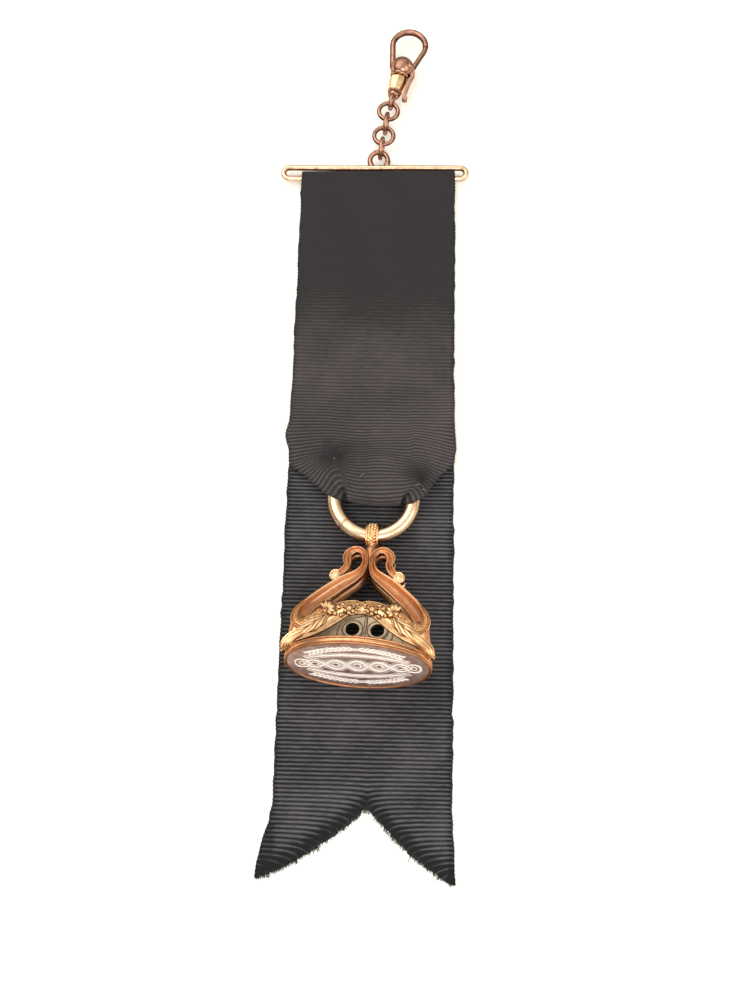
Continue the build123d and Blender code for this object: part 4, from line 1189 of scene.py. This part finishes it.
def build_arms():
    """Four scroll arms, each rolled up at its outer end."""
    fluted = ridge_profile(
        60,
        [(0.465, 0.022, 0.20), (0.385, 0.022, 0.20), (0.30, 0.026, 0.24), (-0.455, 0.03, 0.20)],
        flute=(-0.07, 0.30, 0.50),
    )
    path, _ = seal_path(ARM_STATIONS, count=220)
    pocket = np.sqrt(np.clip((FLUTE_END + path[:, 2]) / 1.3, 0, 1))
    for side, name_side in ((1, "right"), (-1, "left")):
        for depth_side, name_depth in ((1, "front"), (-1, "rear")):
            shell = Shell()
            band(shell, ARM_STATIONS, fluted, side, depth_side, 220, pocket)
            roll(shell, side, -depth_side)
            arm = shell.make(
                f"scroll_{name_depth}_{name_side}", look("gold"), place=seal_matrix(), body="seal"
            )
            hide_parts(f"arm_{name_depth}_{name_side}")


def roll(shell, side, face):
    """Rolled-up end of the scroll: a short drum with a spiral on its face."""
    middle = np.array(ROLL_MIDDLE) * [side, 1, 1]
    drum = [
        (0.0, 1.95), (0.86, 1.95), (1.06, 1.84), (1.15, 1.60), (1.08, 1.30), (1.14, 1.05),
        (1.08, 0.80), (1.10, 0.30), (0.90, 0.12), (0.0, 0.12),
    ]
    turned(shell, np.array(drum) * [1, face], sides=40, start=middle, axis="y")
    turns = np.linspace(0, 1.6 * 2 * math.pi, 90)
    spiral = circle(2.4 - turns, 0.95 - 0.075 * turns, (0, face * 1.93, 0), (0, 2))
    path = spiral * [side, 1, 1] + middle
    tube(shell, path, 0.22 - 0.007 * turns, sides=10, front=(0, -1, 0))


def build_arch():
    """Front arch: bordered bands, volutes, leaves, ruffles and the feet."""
    bordered = ridge_profile(
        50, [(0.455, 0.03, 0.30), (-0.455, 0.03, 0.30), (-0.37, 0.02, 0.12)], dome=0.5
    )
    fine = ridge_profile(
        64,
        [(0.46, 0.028, 0.24), (0.30, 0.028, 0.24), (0.13, 0.028, 0.24), (-0.04, 0.028, 0.22),
         (-0.22, 0.028, 0.20), (-0.43, 0.035, 0.22)],
    )
    foot = ridge_profile(
        40, [(0.42, 0.04, 0.22), (0.20, 0.04, 0.20), (-0.04, 0.04, 0.20), (-0.30, 0.05, 0.22)]
    )
    for side, name in ((1, "right"), (-1, "left")):
        shell = Shell()
        band(shell, ARCH_STATIONS, bordered, side, 1, 130)
        band(shell, VOLUTE_STATIONS, fine, side, 1, 150)
        leaf(shell, SPRAY_STATIONS, side, ridges=3.5, slant=2.2, scallop=0.08, vein=0.09)
        band(shell, FOOT_STATIONS, foot, side, 1, 60)
        for x, down, out, wide in (
            (12.2, 23.6, 3.1, 1.0), (12.85, 24.4, 2.7, 1.05), (13.15, 25.1, 2.3, 0.8)
        ):
            leaf(
                shell,
                [(x - 0.7, down - 0.5, out + 0.2, 0.5, 0.5), (x - 0.1, down, out + 0.25, wide, 0.8),
                 (x + 0.35, down + 0.75, out - 0.2, 0.6, 0.5)],
                side, ridges=2, slant=0.4, count=30, wide=17, scallop=0.12,
            )
        root = np.array([6.15, 18.9, 4.0])
        for angle, reach, wide in (
            (158, 1.9, 1.2), (128, 2.3, 1.3), (98, 2.5, 1.3), (70, 2.3, 1.25), (188, 1.3, 1.0)
        ):
            way = toward(angle) * reach
            leaf(
                shell,
                [(*root, 0.5, 0.5), (*(root + way * 0.62 + [0, 0, 0.50]), wide, 0.9),
                 (*(root + way + [0, 0, 0.25]), 0.85, 0.55)],
                side, ridges=2, slant=0.35, count=34, wide=19, scallop=0.10, vein=0.16,
            )
        for x, down, angle, reach, wide in (
            (3.35, 17.3, 108, 1.1, 0.9), (4.15, 17.8, 140, 1.2, 0.95), (0.65, 17.2, 80, 1.0, 0.85),
            (4.6, 19.0, 200, 1.0, 0.9), (3.4, 19.2, 235, 0.9, 0.8), (0.75, 18.6, 265, 0.7, 0.7),
        ):
            way = toward(angle) * reach
            base = np.array([x, down, 4.05]) - way * 0.45
            leaf(
                shell,
                [(*base, 0.4, 0.3), (*(base + way * 0.55 + [0, 0, 0.20]), wide, 0.55),
                 (*(base + way), 0.45, 0.3)],
                side, ridges=2, slant=0.4, count=24, wide=15, scallop=0.10, vein=0.18,
            )
        crest = shell.make(f"arch_{name}", look("leaf"), place=seal_matrix(), body="seal")
        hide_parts(f"leaf_{name}")


def build_rosettes():
    """Flower bosses: six petals round a grained eye."""
    shell = Shell()
    grains = []
    middle = np.array([2.03, 18.10, 4.30])
    for side in (1, -1):
        for index in range(6):
            way = toward(-60 * index - 30)
            leaf(
                shell,
                [(*(middle + way * 0.1), 0.30, 0.35),
                 (*(middle + way * 0.62 + [0, 0, 0.20]), 0.86, 0.5),
                 (*(middle + way * 1.12 + [0, 0, -0.12]), 0.36, 0.3)],
                side, ridges=1.5, slant=0.3, count=18, wide=13, scallop=0.1, vein=0.12,
            )
        for index in range(8):
            centre = index == 7
            way = toward(-360 / 7 * index) * (0.0 if centre else 0.27)
            across, down, forward = middle + way + [0, 0, 0.40 + 0.08 * centre]
            grains.append((side * across, -forward, -down))
    flowers = shell.make("flower_bosses", look("leaf"), place=seal_matrix(), body="seal")
    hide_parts("rosettes")
    eyes = scattered("flower_eyes", grains, 0.16, look("pale"), "seal", seal_matrix(), 6)


# Raised scrolls on the gallery: places across and down, and a thickness
GALLERY_SCROLLS = (
    ([(0.0, 14.6), (1.8, 15.1), (3.9, 15.9), (5.0, 17.6), (4.9, 19.4), (3.6, 20.8), (1.6, 21.3)],
     0.16),
    ([(5.4, 16.8), (6.4, 18.2), (7.1, 19.8), (7.3, 21.2)], 0.16),
    ([(6.2, 23.4), (5.6, 21.9), (5.6, 20.7), (6.2, 20.3), (6.5, 20.9), (6.1, 21.4)], 0.15),
)
GALLERY_FRONT = 4.16
# Gallery's hole: place across and down, and the radius and thickness of its two collars
HOLE_PLACE = (2.30, 17.8)
HOLE_COLLARS = ((1.62, 0.24), (2.02, 0.13))


def build_gallery():
    """Raised rings and scrolls on the gallery behind."""
    wear_cad("rear_gallery", "dull")
    shell = Shell()
    front = (0, -1, 0)
    for side in (1, -1):
        hole = (side * HOLE_PLACE[0], GALLERY_FRONT, -HOLE_PLACE[1])
        for radius, thick in HOLE_COLLARS:
            path = circle(round_angles(60), radius, hole, (0, 2))
            tube(shell, path, thick, sides=12, closed=True, front=front)
        for points, thick in GALLERY_SCROLLS:
            path = curve_through([(side * x, GALLERY_FRONT, -down) for x, down in points], 50)
            tube(shell, path, thick, sides=10, front=front)
    stem = np.stack([np.zeros(20), np.full(20, 4.14), -np.linspace(14.6, 24.5, 20)], -1)
    beaded = 0.22 + 0.10 * np.sin(np.linspace(0, 3 * math.pi, 20))
    tube(shell, stem, beaded, sides=12, front=front)
    tracery = shell.make("gallery_tracery", look("dull"), place=seal_matrix(), body="seal")


def build_bail():
    """Bail on the ring: a band with lips, rows of beads and a short neck."""
    shell = Shell()
    turned(
        shell,
        [(1.70, -1.2), (2.30, -1.2), (2.42, -1.10), (2.42, -0.95), (2.28, -0.84), (2.18, -0.80),
         (2.18, 0.80), (2.28, 0.84), (2.42, 0.95), (2.42, 1.10), (2.30, 1.2), (1.70, 1.2),
         (1.70, -1.2)],
        sides=64,
        axis="x",
    )
    turned(
        shell,
        [(0.0, 0.3), (1.10, 0.2), (1.28, 0.0), (1.12, -0.22), (0.80, -0.38), (0.72, -0.62),
         (0.96, -0.80), (1.06, -0.98), (0.98, -1.18), (0.92, -1.45), (0.88, -2.1), (0.62, -2.9),
         (0.30, -3.7), (0.0, -4.0)],
        sides=40,
        start=(0, 0, -2.15),
    )
    # The whole neck gets painted shade.
    shell.marks[-1] += 0.8
    bail = shell.make("bail_band", look("gold"), place=seal_matrix(), body="seal")
    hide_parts("seal_bail")
    places, sizes = [], []
    for row in range(8):
        for column, shift, size in ((-1, 0, 0.25), (0, 8, 0.28), (1, 0, 0.25)):
            angle = math.radians(34 + row * 16 + shift)
            places.append((column * 0.52, -2.2 * math.sin(angle), 2.2 * math.cos(angle)))
            sizes.append(size)
    beads = scattered("bail_grains", places, np.array(sizes), look("pale"), "seal", seal_matrix())
    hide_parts("bail_beads")


# Rim's moulding: place outside the face's oval, place down, and how dark and dull it is made there:
# painted shade with patina in its grooves, painted shade under its lip
RIM_PROFILE = [
    (-1.0, 25.62, 0.2), (-0.75, 25.50, 0.0), (-0.35, 25.52, 0.0), (-0.10, 25.66, 0.1),
    (-0.02, 25.84, 0.2), (-0.12, 25.97, 1.0), (-0.13, 26.03, 1.0), (0.0, 26.16, 0.1),
    (0.02, 26.40, 0.0), (0.0, 26.64, 0.1), (-0.12, 26.75, 1.0), (-0.12, 26.82, 0.9),
    (-0.03, 26.93, 0.3), (-0.05, 27.06, 0.7), (-0.13, 27.17, 0.9), (-0.27, 27.22, 0.9),
    (-0.40, 27.16, 0.9), (-0.46, 27.05, 0.8), (-0.60, 26.90, 0.9),
]


def build_base():
    """Oval base: moulded rim, dull floor and gallery, and the engraved face."""
    angle = round_angles(240)
    edge = np.stack([SEAL_LENGTH * np.cos(angle), SEAL_DEPTH * np.sin(angle)], -1)
    out = unit(np.stack([np.cos(angle) / SEAL_LENGTH, np.sin(angle) / SEAL_DEPTH], -1))
    table = curve_through([(out_by, 0, down, dull) for out_by, down, dull in RIM_PROFILE], 72)
    points = np.empty((len(table), len(angle), 3))
    points[..., :2] = edge + out * table[:, 0, None, None]
    points[..., 2] = -table[:, 2:3]
    # The last column is the rim's mark of painted shade, with patina in the grooves.
    mark = np.broadcast_to(np.clip(table[:, 3:], 0, 1), points.shape[:2])
    shell = Shell()
    shell.grid(points, wrap_cols=True, mark=mark, flip=True)
    shell.grid(points[[-1, 0]], wrap_cols=True, flip=True)
    rim = shell.make("moulded_rim", look("rim"), place=seal_matrix(), body="seal")
    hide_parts("base_rim")
    wear_cad("base_floor", "dull")
    build_gallery()
    build_face()


def engraving():
    """Lines of the face's band, arcs, ovals and laurel sprays: points, and a width at each."""
    lines = []

    def edged(points, width):
        """Broad tapered stroke with a fine line on each side."""
        table = curve_through([(x, y, 0) for x, y in points], 140)[:, :2]
        taper = np.sin(np.linspace(0.10, math.pi - 0.10, len(table))) ** 0.45
        lines.append((table, width * taper))
        run = unit(np.gradient(table, axis=0))
        side = np.stack([-run[:, 1], run[:, 0]], -1)
        for way in (1, -1):
            lines.append((table + way * side * (width / 2 + 0.24), np.full(len(table), 0.20)))
        return table, run, side

    def oval(x, y, wide, high, width):
        a = np.linspace(0, 2 * math.pi, 80)
        ring = np.stack([x + wide * np.cos(a), y + high * np.sin(a)], -1)
        lines.append((ring, width * (0.8 + 0.2 * np.cos(a))))

    def woven(s):
        return 1.75 * math.cos(2.5 * math.pi * s) * (1 - 0.35 * s * s)

    across = np.linspace(-1, 1, 41)
    share = np.linspace(0, 1, 14)[:, None]
    for up in (1, -1):
        edged([(9.7 * s, up * woven(s)) for s in across], 0.90)
        edged([(9.2 * s, up * (4.0 - 1.9 * s * s)) for s in across], 0.70)
        stem, run, side = edged([(8.4 * s, up * (6.35 - 2.5 * s * s)) for s in across], 0.24)
        for index in range(5, 136, 7):
            out = run[index] * (np.sign(stem[index, 0]) or 1.0)
            for way in (1, -1):
                lean = out * 0.72 + side[index] * way * 0.70
                blade = stem[index] + lean * (0.10 + 1.15 * share) + out * 0.25 * share**2
                lines.append((blade, 0.50 * np.sin(np.linspace(0.25, 3.0, 14)) ** 0.8))
    for side in (1, -1):
        oval(side * 9.9, 0.0, 1.35, 1.5, 0.50)
        oval(side * 9.9, 0.0, 0.55, 0.65, 0.28)
    for place in (-7.6, -3.88, 0.0, 3.88, 7.6):
        oval(place, 0.0, 0.62, 0.62, 0.30)
    return lines


def build_face():
    """Flat oval face with its engraving; the cuts get a near-white colour, a painted glint."""
    cols, rows = ((380, 260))
    a, b = SEAL_LENGTH - FACE_BORDER, SEAL_DEPTH - FACE_BORDER
    u, w = np.meshgrid(np.linspace(-1, 1, cols), np.linspace(-1, 1, rows))
    x = a * u * np.sqrt(1 - w**2 / 2)
    y = b * w * np.sqrt(1 - u**2 / 2)
    cut = np.zeros_like(x)
    for points, width in engraving():
        low, high = points.min(axis=0) - 0.5, points.max(axis=0) + 0.5
        near = (x > low[0]) & (x < high[0]) & (y > low[1]) & (y < high[1])
        px, py = x[near], y[near]
        away = np.hypot(px[:, None] - points[:, 0], py[:, None] - points[:, 1])
        closest = away.argmin(axis=1)
        depth = 1 - away[np.arange(len(px)), closest] / (width[closest] / 2 + 0.02)
        cut[near] = np.maximum(cut[near], np.clip(depth, 0, 1))
    down = FACE_DOWN - CUT_DEPTH * cut + 0.03 * (1 - (x / a) ** 2 - (y / b) ** 2)
    shell = Shell()
    # The cut mark mixes in the face's near-white colour: painted glints in the cuts.
    shell.grid(np.stack([x, y, -down], axis=-1), mark=smooth(0.0, 0.35, cut), flip=True)
    face = shell.make("engraved_face", look("face"), place=seal_matrix(), body="seal")
    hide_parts("seal_face")


# Stage

TABLE_REACH = 3.0
TABLE_GAP = 2e-5
TABLE_GLOW = 0.30
# Camera: focal length and picture height in pixels, place in millimetres, tilt and turn
FOCAL_PIXELS = 1300
PICTURE_PIXELS = 1008
CAMERA_PLACE = (3.297, -98.46, 236.0)
CAMERA_TILT = 18.5
CAMERA_TURN = 1.295


def shown(tree):
    """How far a ray comes straight from the camera, a mirror or glass: 1 or 0."""
    path = tree.add("ShaderNodeLightPath").outputs
    seen = tree.math("MAXIMUM", path["Is Camera Ray"], path["Is Glossy Ray"])
    return tree.math("MAXIMUM", seen, path["Is Transmission Ray"])


def build_table(settings):
    """Pale table just under the fob."""
    material, tree, principled = shader("table")
    tree.feed(
        principled,
        {
            "Base Color": (*settings.table, 1),
            "Roughness": 0.9,
            "Specular IOR Level": 0.0,
            "Emission Color": (*settings.table, 1),
            "Emission Strength": tree.math("MULTIPLY", shown(tree), TABLE_GLOW),
        },
    )
    mesh = bpy.data.meshes.new("table")
    corners = [(x * TABLE_REACH, y * TABLE_REACH) for x, y in ((-1, -1), (1, -1), (1, 1), (-1, 1))]
    mesh.from_pydata([(x, y, -TABLE_GAP) for x, y in corners], [], [(0, 1, 2, 3)])
    mesh.materials.append(material)
    table = bpy.data.objects.new("table", mesh)
    bpy.context.scene.collection.objects.link(table)


def build_room(settings):
    """Soft room with light and dark patches, which the metal mirrors."""
    world = bpy.data.worlds.new("room")
    bpy.context.scene.world = world
    world.use_nodes = True
    tree = Tree(world.node_tree)
    place = tree.add("ShaderNodeTexCoord").outputs["Generated"]
    _, _, up = tree.add("ShaderNodeSeparateXYZ", {"Vector": place}).outputs
    height = tree.math("MULTIPLY_ADD", up, 0.55, tree.noise(place, 1.6, 1.0))
    ramp = tree.add("ShaderNodeValToRGB", {"Fac": height})
    steps = ramp.color_ramp.elements
    steps[0].position, steps[0].color = 0.42, (0.03, 0.025, 0.02, 1)
    steps[1].position, steps[1].color = 0.92, (1.0, 0.97, 0.92, 1)
    steps.new(0.66).color = (0.38, 0.35, 0.32, 1)
    strength = tree.remap(shown(tree), 0.0, 1.0, settings.room, settings.mirrored)
    background = tree.nodes["Background"]
    tree.feed(background, {"Color": ramp.outputs["Color"], "Strength": strength})


def build_lamps(settings):
    """Key light, fill and strip, each turned to the fob."""
    for name, place, power, width, height, tint in (
        ("key", (-0.34, 0.22, 0.60), settings.key, 0.90, 0.70, (1.0, 0.98, 0.94)),
        ("fill", (0.52, -0.20, 0.46), settings.key * 0.35, 0.50, 0.40, (0.97, 0.98, 1.0)),
        ("strip", (0.05, -0.46, 0.50), settings.key * 0.45, 0.30, 0.30, (1.0, 0.98, 0.95)),
    ):
        data = bpy.data.lights.new(name, "AREA")
        data.shape = "RECTANGLE"
        data.size, data.size_y = width, height
        data.energy = power
        data.color = tint
        lamp = bpy.data.objects.new(name, data)
        lamp.location = place
        lamp.rotation_euler = (-lamp.location).to_track_quat("-Z", "Y").to_euler()
        bpy.context.scene.collection.objects.link(lamp)


def build_camera():
    """Camera at the photo's angle and distance."""
    data = bpy.data.cameras.new("camera")
    data.sensor_width = 36.0
    data.lens = data.sensor_width * FOCAL_PIXELS / PICTURE_PIXELS
    data.clip_start, data.clip_end = 0.01, 10.0
    camera = bpy.data.objects.new("camera", data)
    camera.location = [c * MM for c in CAMERA_PLACE]
    camera.rotation_euler = (math.radians(CAMERA_TILT), 0, math.radians(CAMERA_TURN))
    bpy.context.scene.collection.objects.link(camera)
    bpy.context.scene.camera = camera
    bpy.context.scene.view_settings.view_transform = "Standard"


# Settings, operators and panel


class FobMetal(bpy.types.PropertyGroup):
    """Colours of the metal pieces."""

    gold: bpy.props.FloatVectorProperty(
        name="Gold", description="Colour of the seal's and ring's gold", subtype="COLOR",
        size=3, min=0, max=1, default=(0.90, 0.57, 0.335),
    )
    # The gold in hollows is also the colour of painted shade on flanks, rears and undersides.
    gold_deep: bpy.props.FloatVectorProperty(
        name="Gold in hollows", description="Colour of the gold where it is hollow and worn",
        subtype="COLOR", size=3, min=0, max=1, default=(0.37, 0.145, 0.06),
    )
    copper: bpy.props.FloatVectorProperty(
        name="Red gold", description="Colour of the swivel and links", subtype="COLOR",
        size=3, min=0, max=1, default=(0.50, 0.26, 0.175),
    )
    # The red gold where worn is also the colour of painted shade on the wires' flanks.
    copper_deep: bpy.props.FloatVectorProperty(
        name="Red gold in hollows", description="Colour of the swivel and links where worn",
        subtype="COLOR", size=3, min=0, max=1, default=(0.09, 0.038, 0.028),
    )


class FobStage(bpy.types.PropertyGroup):
    """Table and lights."""

    table: bpy.props.FloatVectorProperty(
        name="Table", description="Colour of the table", subtype="COLOR",
        size=3, min=0, max=1, default=(0.97, 0.95, 0.87),
    )
    key: bpy.props.FloatProperty(
        name="Key light", description="Power of the main light", unit="POWER", min=0, default=3.6
    )
    room: bpy.props.FloatProperty(
        name="Room light", description="Strength of the light from all round", min=0, default=0.55
    )
    mirrored: bpy.props.FloatProperty(
        name="Mirrored room", description="Strength of the room seen in metal", min=0, default=1.0
    )


class FOB_OT_ribbon(bpy.types.Operator):
    """Builds the ribbon's layers, its frayed end and its stitches."""

    bl_idname = "fob.ribbon"
    bl_label = "Ribbon"

    def execute(self, context):
        back = build_back()
        fringe = build_fringe()
        front, length = build_front()
        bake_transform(front)
        tacks = build_tacks()
        under = build_turn_up()
        return {"FINISHED"}


class FOB_OT_bar(bpy.types.Operator):
    """Builds the ribbon bar, the links and the ring."""

    bl_idname = "fob.bar"
    bl_label = "Bar, links and ring"

    def execute(self, context):
        build_bar()
        build_links()
        build_ring()
        return {"FINISHED"}


class FOB_OT_swivel(bpy.types.Operator):
    """Builds the watch swivel."""

    bl_idname = "fob.swivel"
    bl_label = "Watch swivel"

    def execute(self, context):
        build_swivel()
        return {"FINISHED"}


class FOB_OT_seal(bpy.types.Operator):
    """Builds the seal."""

    bl_idname = "fob.seal"
    bl_label = "Seal"

    def execute(self, context):
        build_bail()
        build_arms()
        build_arch()
        build_rosettes()
        build_base()
        return {"FINISHED"}


class FOB_OT_stage(bpy.types.Operator):
    """Builds the table, the lights and the camera."""

    bl_idname = "fob.stage"
    bl_label = "Stage"

    def execute(self, context):
        settings = context.scene.fob_stage
        build_table(settings)
        build_room(settings)
        build_lamps(settings)
        build_camera()
        return {"FINISHED"}


class FOB_PT_panel(bpy.types.Panel):
    """Lists the fob's settings and its pieces."""

    bl_idname = "FOB_PT_panel"
    bl_label = "Watch Fob"
    bl_space_type = "VIEW_3D"
    bl_region_type = "UI"
    bl_category = "Watch Fob"

    def draw(self, context):
        layout = self.layout
        for group in (context.scene.fob_metal, context.scene.fob_stage):
            for name in group.bl_rna.properties.keys():
                if name not in ("rna_type", "name"):
                    layout.prop(group, name)
        for name in OPERATORS:
            layout.operator(name.bl_idname)


OPERATORS = (FOB_OT_bar, FOB_OT_ribbon, FOB_OT_swivel, FOB_OT_seal, FOB_OT_stage)
CLASSES = (FobMetal, FobStage, *OPERATORS, FOB_PT_panel)


def register():
    for item in CLASSES:
        bpy.utils.register_class(item)
    bpy.types.Scene.fob_metal = bpy.props.PointerProperty(type=FobMetal)
    bpy.types.Scene.fob_stage = bpy.props.PointerProperty(type=FobStage)


def unregister():
    del bpy.types.Scene.fob_stage
    del bpy.types.Scene.fob_metal
    for item in reversed(CLASSES):
        bpy.utils.unregister_class(item)


def main():
    register()
    bpy.ops.fob.bar()
    bpy.ops.fob.ribbon()
    bpy.ops.fob.swivel()
    bpy.ops.fob.seal()
    bpy.ops.fob.stage()


if __name__ == "__main__":
    main()
